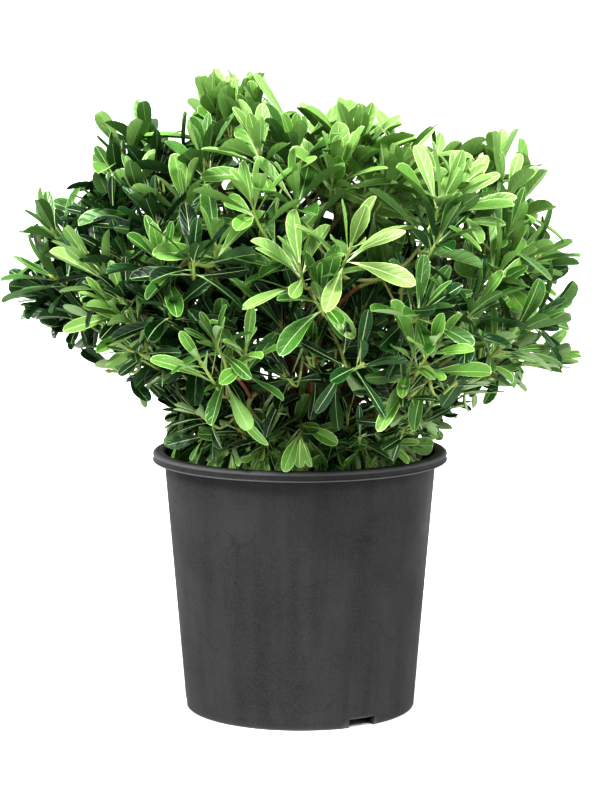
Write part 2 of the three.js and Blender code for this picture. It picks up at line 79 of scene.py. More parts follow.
def bezier(corners, count=200):
    t = np.linspace(0, 1, count)[:, None]
    points = [np.array(corner)[None, :] * np.ones_like(t) for corner in corners]
    while len(points) > 1:
        points = [a + (b - a) * t for a, b in zip(points, points[1:])]
    return points[0]


def throughPoints(way, perPiece=14):
    # a centripetal Catmull-Rom curve
    way = [np.array(p, float) for p in way]
    ends = [2 * way[0] - way[1]] + way + [2 * way[-1] - way[-2]]
    knots = [0.0]
    for a, b in zip(ends, ends[1:]):
        knots.append(knots[-1] + max(1e-3, np.linalg.norm(b - a)) ** 0.5)
    parts = []
    for i in range(1, len(ends) - 2):
        p, k = ends[i - 1:i + 3], knots[i - 1:i + 3]
        t = np.linspace(k[1], k[2], perPiece, endpoint=False)[:, None]

        def blend(a, b, low, high):
            return ((high - t) * a + (t - low) * b) / (high - low)

        first = [blend(p[n], p[n + 1], k[n], k[n + 1]) for n in range(3)]
        second = [blend(first[n], first[n + 1], k[n], k[n + 2]) for n in range(2)]
        parts.append(blend(second[0], second[1], k[1], k[2]))
    return np.vstack(parts + [way[-1][None, :]])


def unit(v):
    return np.array(v, float) / max(1e-9, np.linalg.norm(v))


def tipHeading(points):
    return unit(points[-1] - points[-3])


def onRing(radius, bearing, height):
    turn = math.radians(bearing)
    return np.array([radius * math.cos(turn), radius * math.sin(turn), height])


def framesAlong(points):
    # tangents, normals and binormals that turn as little as they can
    tangents = np.gradient(points, axis=0)
    tangents /= np.linalg.norm(tangents, axis=1)[:, None]
    side = unit(np.cross(tangents[0], [0.3, 0.2, 1.0] if abs(tangents[0][2]) < 0.9 else [1.0, 0.2, 0.1]))
    normals = [side]
    for tangent in tangents[1:]:
        side = unit(side - tangent * np.dot(side, tangent))
        normals.append(side)
    normals = np.array(normals)
    return tangents, normals, np.cross(tangents, normals)


# Meshes from arrays, in millimetres
def newPiece(name, points, faces, slots=None, uv=None, way=None):
    mesh = bpy.data.meshes.new(name)
    mesh.from_pydata((np.asarray(points) * mm).tolist(), [], faces)
    if slots is not None:
        mesh.polygons.foreach_set("material_index", np.asarray(slots, dtype=np.int32))
    if uv is not None:
        corners = np.zeros(len(mesh.loops), dtype=np.int32)
        mesh.loops.foreach_get("vertex_index", corners)
        layer = mesh.uv_layers.new(name="surface")
        layer.data.foreach_set("uv", np.asarray(uv, dtype=np.float32)[corners].ravel())
    if way is not None:
        store = mesh.attributes.new("barkWay", "FLOAT_VECTOR", "POINT")
        store.data.foreach_set("vector", np.asarray(way, dtype=np.float32).ravel())
    mesh.update()
    piece = bpy.data.objects.new(name, mesh)
    bpy.context.collection.objects.link(piece)
    return piece


def joined(parts):
    # several lists of points and faces as one, with the faces counted on from the points before
    points, faces, base = [], [], 0
    for own, ownFaces in parts:
        points.append(own)
        faces += [tuple(base + corner for corner in face) for face in ownFaces]
        base += len(own)
    return np.vstack(points), faces


def smoothPiece(piece, angle=None):
    bpy.ops.object.select_all(action="DESELECT")
    piece.select_set(True)
    bpy.context.view_layer.objects.active = piece
    if angle is None:
        bpy.ops.object.shade_smooth()
    else:
        bpy.ops.object.shade_smooth_by_angle(angle=math.radians(angle))


def dress(piece, finishes, nodes=()):
    for finish in finishes:
        piece.data.materials.append(finish)
    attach(piece, "root")
    if nodes:
        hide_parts(*nodes)


# Shader nodes: a value is a number, a colour or another node's socket
def setInputs(tree, node, values):
    for key, value in values.items():
        if isinstance(value, bpy.types.NodeSocket):
            tree.links.new(value, node.inputs[key])
        else:
            node.inputs[key].default_value = value


def addNode(tree, kind, values=None, **settings):
    node = tree.nodes.new(kind)
    for key, value in settings.items():
        setattr(node, key, value)
    setInputs(tree, node, values or {})
    return node


def calculate(tree, operation, first, second=0.0):
    return addNode(tree, "ShaderNodeMath", {0: first, 1: second}, operation=operation).outputs[0]


def mapRange(tree, source, low, high, toLow, toHigh, **settings):
    values = {0: source, 1: low, 2: high, 3: toLow, 4: toHigh}
    return addNode(tree, "ShaderNodeMapRange", values, **settings).outputs[0]


def noiseOf(tree, vector, **values):
    return addNode(tree, "ShaderNodeTexNoise", {"Vector": vector, **values}).outputs["Fac"]


def scaled(tree, vector, scale):
    return addNode(tree, "ShaderNodeMapping", {"Vector": vector, "Scale": scale}).outputs[0]


def axisOf(tree, vector, axis):
    return addNode(tree, "ShaderNodeSeparateXYZ", {0: vector}).outputs[axis]


def mixColours(tree, mask, first, second):
    return addNode(tree, "ShaderNodeMix", {0: mask, 6: first, 7: second}, data_type="RGBA").outputs[2]


def objectPlace(tree):
    return addNode(tree, "ShaderNodeTexCoord").outputs["Object"]


def bumpFrom(tree, shader, heights):
    # each height is (socket, strength, distance in mm); they are stacked
    below = {}
    for height, strength, distance in heights:
        values = {"Height": height, "Strength": strength, "Distance": distance * mm, **below}
        below = {"Normal": addNode(tree, "ShaderNodeBump", values).outputs[0]}
    setInputs(tree, shader, below)


# Shader groups, each used in several finishes
def newGroup(name, inputs, outputs):
    # an input with no value is a vector, and one with a tuple is a colour
    group = bpy.data.node_groups.new(name, "ShaderNodeTree")
    for label, value in inputs.items():
        kind = "Vector" if value is None else "Color" if isinstance(value, tuple) else "Float"
        socket = group.interface.new_socket(name=label, in_out="INPUT", socket_type="NodeSocket" + kind)
        if value is not None:
            socket.default_value = value
    for label, kind in outputs.items():
        group.interface.new_socket(name=label, in_out="OUTPUT", socket_type="NodeSocket" + kind)
    return group, group.nodes.new("NodeGroupInput").outputs


def grainGroup():
    # fine and coarse noise together, as a height and as a mask
    tree, given = newGroup(
        "surfaceGrain", {"Vector": None, "Scale": 200.0, "Roughness": 0.6},
        {"Height": "Float", "Mask": "Float"})
    fine = noiseOf(tree, given["Vector"], Scale=given["Scale"], Detail=5.0, Roughness=given["Roughness"])
    coarseScale = calculate(tree, "MULTIPLY", given["Scale"], 0.22)
    coarse = noiseOf(tree, given["Vector"], Scale=coarseScale, Detail=2.0, Roughness=0.5)
    addNode(tree, "NodeGroupOutput", {"Height": fine, "Mask": mapRange(tree, coarse, 0.35, 0.65, 0.0, 1.0)})
    return tree


def mottleGroup():
    # two colours that run into each other in patches
    tree, given = newGroup(
        "mottle", {"Vector": None, "Scale": 40.0, "First": (0, 0, 0, 1), "Second": (1, 1, 1, 1)},
        {"Color": "Color"})
    patches = noiseOf(tree, given["Vector"], Scale=given["Scale"], Detail=6.0, Roughness=0.62)
    mask = mapRange(tree, patches, 0.36, 0.64, 0.0, 1.0)
    addNode(tree, "NodeGroupOutput", {"Color": mixColours(tree, mask, given["First"], given["Second"])})
    return tree


def barkGroup():
    # ridges that run along a limb, and pores across it, in the limb's own round-and-along coordinates
    tree, given = newGroup("barkRidges", {"Way": None, "Scale": 2.0}, {"Height": "Float", "Mask": "Float"})
    long = scaled(tree, given["Way"], (2.4, 2.4, 0.32))
    ridges = noiseOf(tree, long, Scale=given["Scale"], Detail=6.0, Roughness=0.66, Distortion=0.5)
    cross = scaled(tree, given["Way"], (1.0, 1.0, 3.4))
    pores = addNode(tree, "ShaderNodeTexVoronoi", {"Vector": cross, "Scale": 1.3, "Randomness": 1.0})
    spot = mapRange(tree, pores.outputs["Distance"], 0.08, 0.22, 0.35, 0.0)
    total = calculate(tree, "ADD", ridges, spot)
    addNode(tree, "NodeGroupOutput", {"Height": total, "Mask": mapRange(tree, total, 0.4, 0.8, 0.0, 1.0)})
    return tree


def veinGroup():
    # side veins that leave the midrib at a slant, in the leaf's own across-and-along map
    tree, given = newGroup("leafVeins", {"Map": None, "Count": 15.0}, {"Height": "Float"})
    place = addNode(tree, "ShaderNodeSeparateXYZ", {0: given["Map"]}).outputs
    across = calculate(tree, "ABSOLUTE", calculate(tree, "SUBTRACT", place["X"], 0.5))
    along = calculate(tree, "SUBTRACT", place["Y"], calculate(tree, "MULTIPLY", across, 0.42))
    saw = calculate(tree, "PINGPONG", calculate(tree, "MULTIPLY", along, given["Count"]), 1.0)
    addNode(tree, "NodeGroupOutput", {"Height": mapRange(tree, saw, 0.0, 0.35, 0.0, 1.0)})
    return tree


groups = {"grain": grainGroup(), "mottle": mottleGroup(), "bark": barkGroup(), "veins": veinGroup()}
printStage("shader groups")


def useGroup(tree, name, **values):
    return addNode(tree, "ShaderNodeGroup", values, node_tree=groups[name]).outputs


def srgb(*levels):
    # a colour from its display levels, 0 to 255
    shares = [level / 255 for level in levels]
    return (*[s / 12.92 if s <= 0.04045 else ((s + 0.055) / 1.055) ** 2.4 for s in shares], 1)


def newFinish(name, roughness, gloss):
    finish = bpy.data.materials.new(name)
    finish.use_nodes = True
    shader = finish.node_tree.nodes["Principled BSDF"]
    setInputs(finish.node_tree, shader, {"Roughness": roughness, "Specular IOR Level": gloss})
    return finish, finish.node_tree, shader


def plainFinish(name, colour, roughness, gloss, relief, grainScale, veined=False):
    # one plain colour, with the surface's relief and gloss from its own map and place
    finish, tree, shader = newFinish(name, roughness, gloss)
    grain = useGroup(tree, "grain", Vector=objectPlace(tree), Scale=grainScale, Roughness=0.6)
    varied = mapRange(tree, grain["Mask"], 0.0, 1.0, roughness * 0.8, min(1.0, roughness * 1.25))
    setInputs(tree, shader, {"Base Color": srgb(*colour), "Roughness": varied})
    heights = [(grain["Height"], relief, 0.3)]
    if veined:
        surface = addNode(tree, "ShaderNodeUVMap", uv_map="surface").outputs[0]
        heights.append((useGroup(tree, "veins", Map=surface, Count=15.0)["Height"], 0.8, 0.35))
    bumpFrom(tree, shader, heights)
    return finish


def plainFinishes(rows):
    # rows of name, colour, roughness, gloss, relief, how fine the grain is, and True where it is veined
    return [plainFinish(*row) for row in rows]


# Camera, floor and light
studio = {
    "distance": 2774.03, "height": 694.87, "pitch": 0.1360,  # the pitch is in radians
    "focal": 2751.38, "imageHeight": 800,  # both in pixels
    "sensor": 36, "floor": 160.0, "floorColour": (0.6, 0.6, 0.6, 1),
    "roomLight": (1.0, 0.85), "roomHeights": (0.02, 0.3),  # at the horizon and further up
    "lights": [  # name, power, height, side and softness
        ("keyLight", 4.8, 45, -58, 22), ("sideLight", 3.7, 46, 48, 28),
    ],
}


def setStudio():
    bpy.ops.object.camera_add(
        location=(0, -studio["distance"] * mm, studio["height"] * mm),
        rotation=(math.pi / 2 - studio["pitch"], 0, 0))
    camera = bpy.context.object
    camera.name = "photoCamera"
    camera.data.sensor_fit = "VERTICAL"
    camera.data.sensor_height = studio["sensor"]
    camera.data.lens = studio["focal"] * studio["sensor"] / studio["imageHeight"]
    bpy.context.scene.camera = camera

    bpy.ops.mesh.primitive_plane_add(size=studio["floor"])
    floor = bpy.context.object
    floor.name = "studioFloor"
    finish, tree, shader = newFinish("paleFloor", 0.9, 0.1)
    setInputs(tree, shader, {"Base Color": studio["floorColour"]})
    floor.data.materials.append(finish)

    world = bpy.data.worlds.new("softRoom")  # brighter near the horizon, like a tent of white cloth
    world.use_nodes = True
    sky = world.node_tree
    upward = axisOf(sky, addNode(sky, "ShaderNodeTexCoord").outputs["Generated"], "Z")
    strength = mapRange(sky, upward, *studio["roomHeights"], *studio["roomLight"])
    setInputs(sky, sky.nodes["Background"], {"Color": (1, 1, 1, 1), "Strength": strength})
    bpy.context.scene.world = world
    bpy.context.scene.view_settings.view_transform = "Standard"
    bpy.context.scene.view_settings.look = "High Contrast"

    for name, power, height, side, softness in studio["lights"]:
        bpy.ops.object.light_add(type="SUN", rotation=(math.radians(90 - height), 0, math.radians(side)))
        sun = bpy.context.object
        sun.name = name
        sun.data.energy = power
        sun.data.angle = math.radians(softness)


setStudio()
printStage("studio")


# Pot: one disc lifted ring by ring along the wall's section, then slotted and drilled
pot = {
    "height": 265, "rimRadius": 150, "lipHeight": 10, "lipWidth": 10.8, "wall": 2.4,
    "footRadius": 117, "footHeight": 9, "footWidth": 7, "centreFootRadius": 28, "draft": 2,
    "notchCount": 3, "notchWidth": 30, "notchBearing": -58,
    "drainCount": 9, "drainRadius": 6, "drainCircle": 84, "drainSides": 24, "sides": 144,
    "wallRings": [2, 10, 14, 90, 180],  # heights; those by the slots keep the foot's rounded edge narrow, and with it the wear and painted highlight along that edge
    "cornerAngle": 32,
}
plastic = {
    "dark": srgb(36, 36, 36), "light": srgb(49, 49, 49), "turning": srgb(56, 56, 55),
    "run": srgb(28, 28, 28), "scratch": srgb(20, 20, 20), "dust": srgb(76, 75, 72),
    # the edge colour is wear together with a painted highlight along the rims and corners
    "speckle": srgb(60, 60, 60), "edgeWearAndHighlight": srgb(104, 105, 105),
    "gloss": 0.1, "roughness": (0.5, 0.64), "dustiness": 0.18, "dustHeight": 0.05,  # height in metres
}


def scratchMask(tree, place):
    # short bent scratches: the level lines of a slow noise, shown only in patches
    slow = noiseOf(tree, place, Scale=13.0, Detail=1.0, Distortion=0.4)
    away = calculate(tree, "ABSOLUTE", calculate(tree, "SUBTRACT", slow, 0.5))
    thin = mapRange(tree, away, 0.0, 0.006, 0.65, 0.0)
    patch = noiseOf(tree, place, Scale=21.0, Detail=2.0)
    return calculate(tree, "MULTIPLY", thin, mapRange(tree, patch, 0.5, 0.6, 0.0, 1.0))


def dustMask(tree, place):
    # dust that lies on what faces up and gathers near the foot, broken up into spots
    facing = axisOf(tree, addNode(tree, "ShaderNodeNewGeometry").outputs["Normal"], "Z")
    upward = mapRange(tree, facing, 0.2, 1.0, 0.0, 0.7)
    height = axisOf(tree, place, "Z")
    near = mapRange(tree, height, 0.0, plastic["dustHeight"], 1.0, 0.0, interpolation_type="SMOOTHSTEP")
    spots = noiseOf(tree, place, Scale=55.0, Detail=8.0, Roughness=0.7)
    broken = mapRange(tree, spots, 0.38, 0.72, 0.0, plastic["dustiness"])
    return calculate(tree, "MULTIPLY", calculate(tree, "MAXIMUM", upward, near), broken)


def potPlastic():
    finish, tree, shader = newFinish("potPlastic", 0.6, plastic["gloss"])
    place = objectPlace(tree)
    mottle = useGroup(
        tree, "mottle", Vector=place, Scale=9.0, First=plastic["dark"], Second=plastic["light"])
    turned = noiseOf(tree, scaled(tree, place, (60.0, 60.0, 420.0)), Scale=1.0, Detail=4.0, Roughness=0.6)
    runs = noiseOf(tree, scaled(tree, place, (55.0, 55.0, 3.0)), Scale=1.0, Detail=3.0, Roughness=0.5)
    grain = useGroup(tree, "grain", Vector=place, Scale=700.0, Roughness=0.8)
    # the sharpest edges, which take a lighter colour below: wear together with a painted highlight
    wearAndHighlight = addNode(tree, "ShaderNodeNewGeometry").outputs["Pointiness"]
    layers = [  # each lies over those before
        (mapRange(tree, turned, 0.56, 0.78, 0.0, 0.5), "turning"),
        (mapRange(tree, runs, 0.42, 0.7, 0.0, 0.55), "run"),
        (scratchMask(tree, place), "scratch"),
        (dustMask(tree, place), "dust"),
        (mapRange(tree, grain["Height"], 0.4, 0.62, 0.0, 0.6), "speckle"),
        # lighter sharp edges: wear and a painted highlight
        (mapRange(tree, wearAndHighlight, 0.51, 0.57, 0.0, 0.75), "edgeWearAndHighlight"),
    ]
    colour = mottle["Color"]
    for mask, name in layers:
        colour = mixColours(tree, mask, colour, plastic[name])
    waves = useGroup(tree, "grain", Vector=place, Scale=70.0, Roughness=0.4)
    roughness = mapRange(tree, waves["Mask"], 0.0, 1.0, *plastic["roughness"])
    setInputs(tree, shader, {"Base Color": colour, "Roughness": roughness})
    bumpFrom(tree, shader, [(grain["Height"], 0.35, 0.25), (waves["Height"], 0.3, 0.6)])
    return finish


def wallRadiusAt(height):
    top = pot["rimRadius"] - pot["lipWidth"]
    return pot["footRadius"] + (top - pot["footRadius"]) * height / pot["height"]


def innerRadiusAt(height):
    return wallRadiusAt(height) - pot["wall"]


def potSection():
    # radius and height all the way round: small numbers round the corners off
    wall, height, rim, foot = pot["wall"], pot["height"], pot["rimRadius"], pot["footRadius"]
    inner = innerRadiusAt(height)
    ring = foot - pot["footWidth"]
    plateTop = pot["footHeight"] + wall
    lipFoot = height - pot["lipHeight"]
    return [
        # the base plate's underside and the foot ring
        (pot["centreFootRadius"] + pot["draft"], pot["footHeight"]), (ring, pot["footHeight"]),
        (ring + 1, 0.8), (ring + 1.8, 0), (foot - 0.8, 0), (foot, 0.9),
        # up the wall and out inside the lip
        *[(wallRadiusAt(level), level) for level in pot["wallRings"] + [lipFoot - 9, lipFoot - 8]],
        (wallRadiusAt(height - wall), height - wall), (rim - wall, height - wall - 0.6),
        (rim - wall, lipFoot + 0.5), (rim - wall + 0.5, lipFoot),
        # the lip's outside, with its groove
        (rim - 0.5, lipFoot), (rim, lipFoot + 0.5), (rim, lipFoot + 1.3), (rim - 0.8, lipFoot + 2.2),
        (rim - 0.8, height - 4.6), (rim - 0.1, height - 3.4), (rim - 0.5, height - 1.9),
        (rim - 1.6, height - 0.8), (rim - 3.2, height - 0.1), (rim - 5, height),
        # over the top and down the wall's inside to the base plate
        (inner + 4, height), (inner + 2, height - 0.5), (inner + 0.7, height - 1.8), (inner, height - 4),
        (innerRadiusAt(140), 140), (innerRadiusAt(plateTop + 3), plateTop + 3),
        (innerRadiusAt(plateTop) - 2, plateTop),
    ]


def cutAway(piece, cutter):
    bpy.context.view_layer.objects.active = piece
    cut = piece.modifiers.new("cut", "BOOLEAN")
    cut.operation = "DIFFERENCE"
    cut.solver = "EXACT"
    cut.object = cutter
    bpy.ops.object.modifier_apply(modifier=cut.name)
    bpy.data.objects.remove(cutter, do_unlink=True)


def extrudeRing(radius, level, nextRadius, nextLevel):
    # lifts the selected face or edge to the next height and takes it to the next radius
    rise = (nextLevel - level) * mm
    bpy.ops.mesh.extrude_region_move(TRANSFORM_OT_translate={"value": (0, 0, rise)})
    ratio = nextRadius / radius
    bpy.ops.transform.resize(value=(ratio, ratio, 1), center_override=(0, 0, nextLevel * mm))


def makePot():
    bpy.ops.object.select_all(action="DESELECT")
    radius, level = pot["centreFootRadius"], 0
    bpy.ops.mesh.primitive_circle_add(vertices=pot["sides"], radius=radius * mm, fill_type="NGON")
    piece = bpy.context.object
    piece.name = "potShell"
    bpy.ops.object.mode_set(mode="EDIT")
    bpy.ops.mesh.select_mode(type="FACE")
    bpy.ops.mesh.select_all(action="SELECT")
    bpy.ops.mesh.duplicate()  # the first disc stays behind as the middle foot's underside
    bpy.ops.mesh.select_all(action="DESELECT")
    bpy.ops.object.mode_set(mode="OBJECT")
    piece.data.polygons[1].select = True
    bpy.ops.object.mode_set(mode="EDIT")
    for nextRadius, nextLevel in potSection():
        extrudeRing(radius, level, nextRadius, nextLevel)
        radius, level = nextRadius, nextLevel
    bpy.ops.mesh.select_all(action="SELECT")
    bpy.ops.mesh.remove_doubles(threshold=1e-6)
    bpy.ops.mesh.normals_make_consistent(inside=False)
    bpy.ops.object.mode_set(mode="OBJECT")

    for i in range(pot["notchCount"]):
        bearing = pot["notchBearing"] + i * 360 / pot["notchCount"]
        place = onRing(pot["footRadius"], bearing, 0) * mm
        bpy.ops.mesh.primitive_cube_add(size=1, location=place, rotation=(0, 0, math.radians(bearing)))
        cutter = bpy.context.object
        cutter.scale = (4 * pot["footWidth"] * mm, pot["notchWidth"] * mm, 2 * pot["footHeight"] * mm)
        cutAway(piece, cutter)
    for i in range(pot["drainCount"]):
        place = onRing(pot["drainCircle"], i * 360 / pot["drainCount"], 0) * mm
        depth = 3 * (pot["footHeight"] + pot["wall"]) * mm
        bpy.ops.mesh.primitive_cylinder_add(
            vertices=pot["drainSides"], radius=pot["drainRadius"] * mm, depth=depth, location=place)
        cutAway(piece, bpy.context.object)
    smoothPiece(piece, pot["cornerAngle"])
    dress(piece, [potPlastic()], ["pot"])


makePot()
printStage("pot")


# Soil: a disc inset ring by ring, roughened, and let down along the wall
soil = {
    "top": 245, "start": 6, "settled": 2.5, "edgeDrop": 5, "levelShare": 0.75, "edgeCurve": 1.6,
    "mound": 5, "moundReach": 34, "relief": 3.2, "lumps": 0.045,
    "rings": 26, "sides": 160, "gap": 0.3, "footInset": 2.3,
    "dark": srgb(34, 24, 18), "brown": srgb(74, 52, 36), "crumb": srgb(96, 70, 48),
}
chips = {
    "count": 620, "smallest": 2, "sizes": 6.5, "fewLarge": 2.2, "fromWall": 7, "fromStem": 23,
    "length": (0.5, 0.2), "width": (0.25, 0.2), "thick": (0.8, 0.16), "taper": (0.8, 0.7),
    "lean": 0.35, "raised": 0.45,
    "shares": [0.38, 0.34, 0.18, 0.1],
    "finishes": [
        ("chip1", (52, 36, 27), 0.88, 0.2, 0.9, 700), ("chip2", (88, 58, 40), 0.88, 0.2, 0.9, 700),
        ("chip3", (122, 84, 58), 0.88, 0.2, 0.9, 700), ("chip4", (156, 122, 92), 0.88, 0.2, 0.9, 700),
    ],
}
soilEdge = innerRadiusAt(soil["top"])


def soilMix():
    finish, tree, shader = newFinish("soilMix", 0.95, 0.2)
    place = objectPlace(tree)
    tone = useGroup(tree, "mottle", Vector=place, Scale=160.0, First=soil["dark"], Second=soil["brown"])
    crumbs = addNode(tree, "ShaderNodeTexVoronoi", {"Vector": place, "Scale": 420.0}).outputs["Distance"]
    light = mapRange(tree, crumbs, 0.0, 0.3, 0.55, 0.0)
    setInputs(tree, shader, {"Base Color": mixColours(tree, light, tone["Color"], soil["crumb"])})
    grain = useGroup(tree, "grain", Vector=place, Scale=380.0, Roughness=0.8)
    bumpFrom(tree, shader, [(grain["Height"], 0.9, 2.0), (crumbs, 0.6, 1.2)])
    return finish


def soilHeight(x, y):
    level = math.hypot(x, y)
    past = max(0, (level / soilEdge - soil["levelShare"]) / (1 - soil["levelShare"]))
    fall = soil["edgeDrop"] * past ** soil["edgeCurve"]
    mound = soil["mound"] * math.exp(-(level / soil["moundReach"]) ** 2)
    lumps = noise.fractal(Vector((x, y, 0)) * soil["lumps"], 0.9, 2.1, 5) * soil["relief"]
    return soil["top"] - soil["settled"] - fall + mound + lumps


def makeSoil():
    radius = innerRadiusAt(soil["top"] - soil["edgeDrop"]) - soil["gap"]
    level = soil["top"] - soil["start"]
    bpy.ops.object.select_all(action="DESELECT")
    bpy.ops.mesh.primitive_circle_add(
        vertices=soil["sides"], radius=radius * mm, fill_type="NGON", location=(0, 0, level * mm))
    piece = bpy.context.object
    piece.name = "soilSurface"
    bpy.ops.object.transform_apply(location=True)
    bpy.ops.object.mode_set(mode="EDIT")
    bpy.ops.mesh.select_mode(type="FACE")
    bpy.ops.mesh.select_all(action="SELECT")
    for n in range(soil["rings"]):
        bpy.ops.mesh.inset(thickness=radius / (soil["rings"] + 1) * mm, depth=0)
    bpy.ops.mesh.poke()
    bpy.ops.mesh.select_all(action="DESELECT")
    bpy.ops.mesh.select_mode(type="EDGE")
    bpy.ops.mesh.select_non_manifold()
    bottom = pot["footHeight"] + pot["wall"] + soil["gap"]
    extrudeRing(radius, level, innerRadiusAt(bottom) - soil["footInset"], bottom)
    bpy.ops.mesh.edge_face_add()
    bpy.ops.mesh.select_all(action="SELECT")
    bpy.ops.mesh.normals_make_consistent(inside=False)
    bpy.ops.object.mode_set(mode="OBJECT")
    for vertex in piece.data.vertices:
        if vertex.co.z > bottom * 2 * mm:
            vertex.co.z = soilHeight(vertex.co.x / mm, vertex.co.y / mm) * mm
    smoothPiece(piece)
    dress(piece, [soilMix()], ["soil"])


def makeChips():
    # bark chips and crumbs: flat broken wedges, turned every way
    rng = np.random.RandomState(7)
    corners = [(-1, -1), (1, -1), (1, 1), (-1, 1)]
    sides = [(3, 2, 1, 0), (4, 5, 6, 7), (0, 1, 5, 4), (1, 2, 6, 5), (2, 3, 7, 6), (3, 0, 4, 7)]
    shortest, longer = chips["length"]
    slimmest, wider = chips["width"]
    thinnest, thicker = chips["thick"]
    parts, slots = [], []
    for n in range(chips["count"]):
        size = chips["smallest"] + chips["sizes"] * rng.random() ** chips["fewLarge"]
        reach = (soilEdge - chips["fromWall"]) * math.sqrt(rng.random())
        turn = rng.random() * 2 * math.pi
        x, y = reach * math.cos(turn), reach * math.sin(turn)
        if math.hypot(x, y) < chips["fromStem"]:
            continue
        low = []
        for a, b in corners:
            along = a * size * (shortest + longer * rng.random())
            low.append((along, b * size * (slimmest + wider * rng.random())))
        thick = thinnest + size * thicker
        local = [(a, b, -thick) for a, b in low]
        local += [(a * chips["taper"][0], b * chips["taper"][1], thick * rng.random()) for a, b in low]
        spin, tip, roll = rng.random() * 6.28, rng.normal() * chips["lean"], rng.normal() * chips["lean"]
        cs, sn = math.cos(spin), math.sin(spin)
        lift = soilHeight(x, y) + thick * chips["raised"]
        points = [
            (x + a * cs - b * sn, y + a * sn + b * cs, lift + (c + (a * tip + b * roll)))
            for a, b, c in local]
        parts.append((points, sides))
        slots += [int(rng.choice(4, p=chips["shares"]))] * len(sides)
    dress(newPiece("barkChips", *joined(parts), slots), plainFinishes(chips["finishes"]))


makeSoil()
makeChips()
printStage("soil")


# Crown: the reach of its leaf tips, and the masses that fill it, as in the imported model's source
crown = {
    "base": Vector((0, 0, 300)),
    "outline": [  # tilt, distance to the leaf tips on the left and on the right
        (0, 346, 334), (10, 364, 318), (20, 374, 316), (34, 366, 350), (47, 354, 354), (58, 342, 332),
        (66, 326, 318), (71, 290, 314), (77, 226, 300), (82, 192, 272), (88, 174, 226), (95, 162, 180),
        (104, 146, 148),
    ],
    "lowestTilt": 103,
    "rings": [("top", 17, 3, 165), ("shoulder", 49, 6, -80), ("skirt", 75, 6, -50)],
    "massMiddle": 0.66, "tipRoom": 6, "featureRoom": 30,
    "frontMiddle": 390,
    "front": [  # the outline from the photograph's side, across and up, where the stem stands
        (-302, 417), (-299, 448), (-287, 483), (-275, 502), (-265, 534), (-251, 531), (-239, 523),
        (-225, 537), (-207, 537), (-201, 605), (-191, 605), (-185, 579), (-175, 585), (-164, 615),
        (-156, 618), (-150, 589), (-122, 587), (-112, 619), (-97, 653), (-87, 647), (-60, 650),
        (-36, 645), (-31, 615), (1, 613), (17, 595), (30, 599), (35, 618), (56, 613), (75, 612),
        (84, 599), (101, 600), (108, 583), (139, 593), (149, 574), (179, 574), (187, 592), (217, 587),
        (228, 561), (242, 554), (249, 524), (255, 482), (275, 479), (296, 454), (294, 444), (270, 426),
        (271, 391), (252, 377), (303, 360), (283, 348), (244, 340), (237, 321), (201, 313), (188, 291),
        (158, 282), (160, 262), (138, 258), (132, 215), (-130, 215), (-136, 258), (-158, 262),
        (-152, 282), (-152, 303), (-174, 313), (-175, 328), (-199, 340), (-208, 360), (-237, 373),
        (-263, 391), (-287, 403),
    ],
}
crownBase = np.array(crown["base"])


def crownDirection(tilt, bearing):
    level = math.sin(math.radians(tilt))
    turn = math.radians(bearing)
    return Vector((level * math.cos(turn), level * math.sin(turn), math.cos(math.radians(tilt))))


def outlineAt(tilt, bearing):
    rows = crown["outline"]
    level = min(max(tilt, 0), crown["lowestTilt"])
    after = next(i for i, row in enumerate(rows) if row[0] >= level and i > 0)
    low, high = rows[after - 1], rows[after]
    share = (level - low[0]) / (high[0] - low[0])
    rightness = (1 + math.cos(math.radians(bearing))) / 2
    left = low[1] + (high[1] - low[1]) * share
    right = low[2] + (high[2] - low[2]) * share
    return left + (right - left) * rightness


def crownPoint(tilt, bearing, share):
    return np.array(crown["base"] + crownDirection(tilt, bearing) * (share * outlineAt(tilt, bearing)))


def layOutMasses():
    masses = []
    for name, tilt, count, first in crown["rings"]:
        for i in range(count):
            bearing = first + i * 360 / count
            middle = crownPoint(tilt, bearing, crown["massMiddle"])
            masses.append({
                "name": f"foliage_{name}_{i + 1}", "ring": name, "tilt": tilt, "bearing": bearing,
                "middle": middle, "outward": np.array(crownDirection(90, bearing)),
                "way": unit(middle - crownBase), "sprays": [], "low": [],
            })
    return masses


# Limbs by the source's rule: stem, main boughs, leader and side boughs
stem = {
    "height": 42, "topRadius": 11, "neckRadius": 13, "flareRadius": 20, "flareShare": 0.4, "lean": 4,
    "clearance": 0.3, "intoSoil": 5,
}
bough = {
    "pull": 0.38, "mainRadius": 5.8, "mainTip": 3.8, "mainReach": 0.42, "leaveHeight": 17, "stagger": 9,
    "offAxis": 4, "mainClimb": 0.65, "leaderRadius": 6, "leaderTip": 4, "leaderReach": 0.44,
    "sideRadius": 4.4, "sideTip": 3.2, "sideReach": 0.4, "leaveShare": 0.42, "sideStagger": 0.1,
    "sideClimb": 1.25, "arrivingClimb": 0.15, "raised": 4,
}


def climbing(outward, climb):
    return unit(np.array(outward) + np.array([0, 0, climb]))


def bendBetween(start, leaving, end, arriving):
    pull = np.linalg.norm(np.array(end) - start) * bough["pull"]
    return bezier([start, start + unit(leaving) * pull, end - unit(arriving) * pull, end])


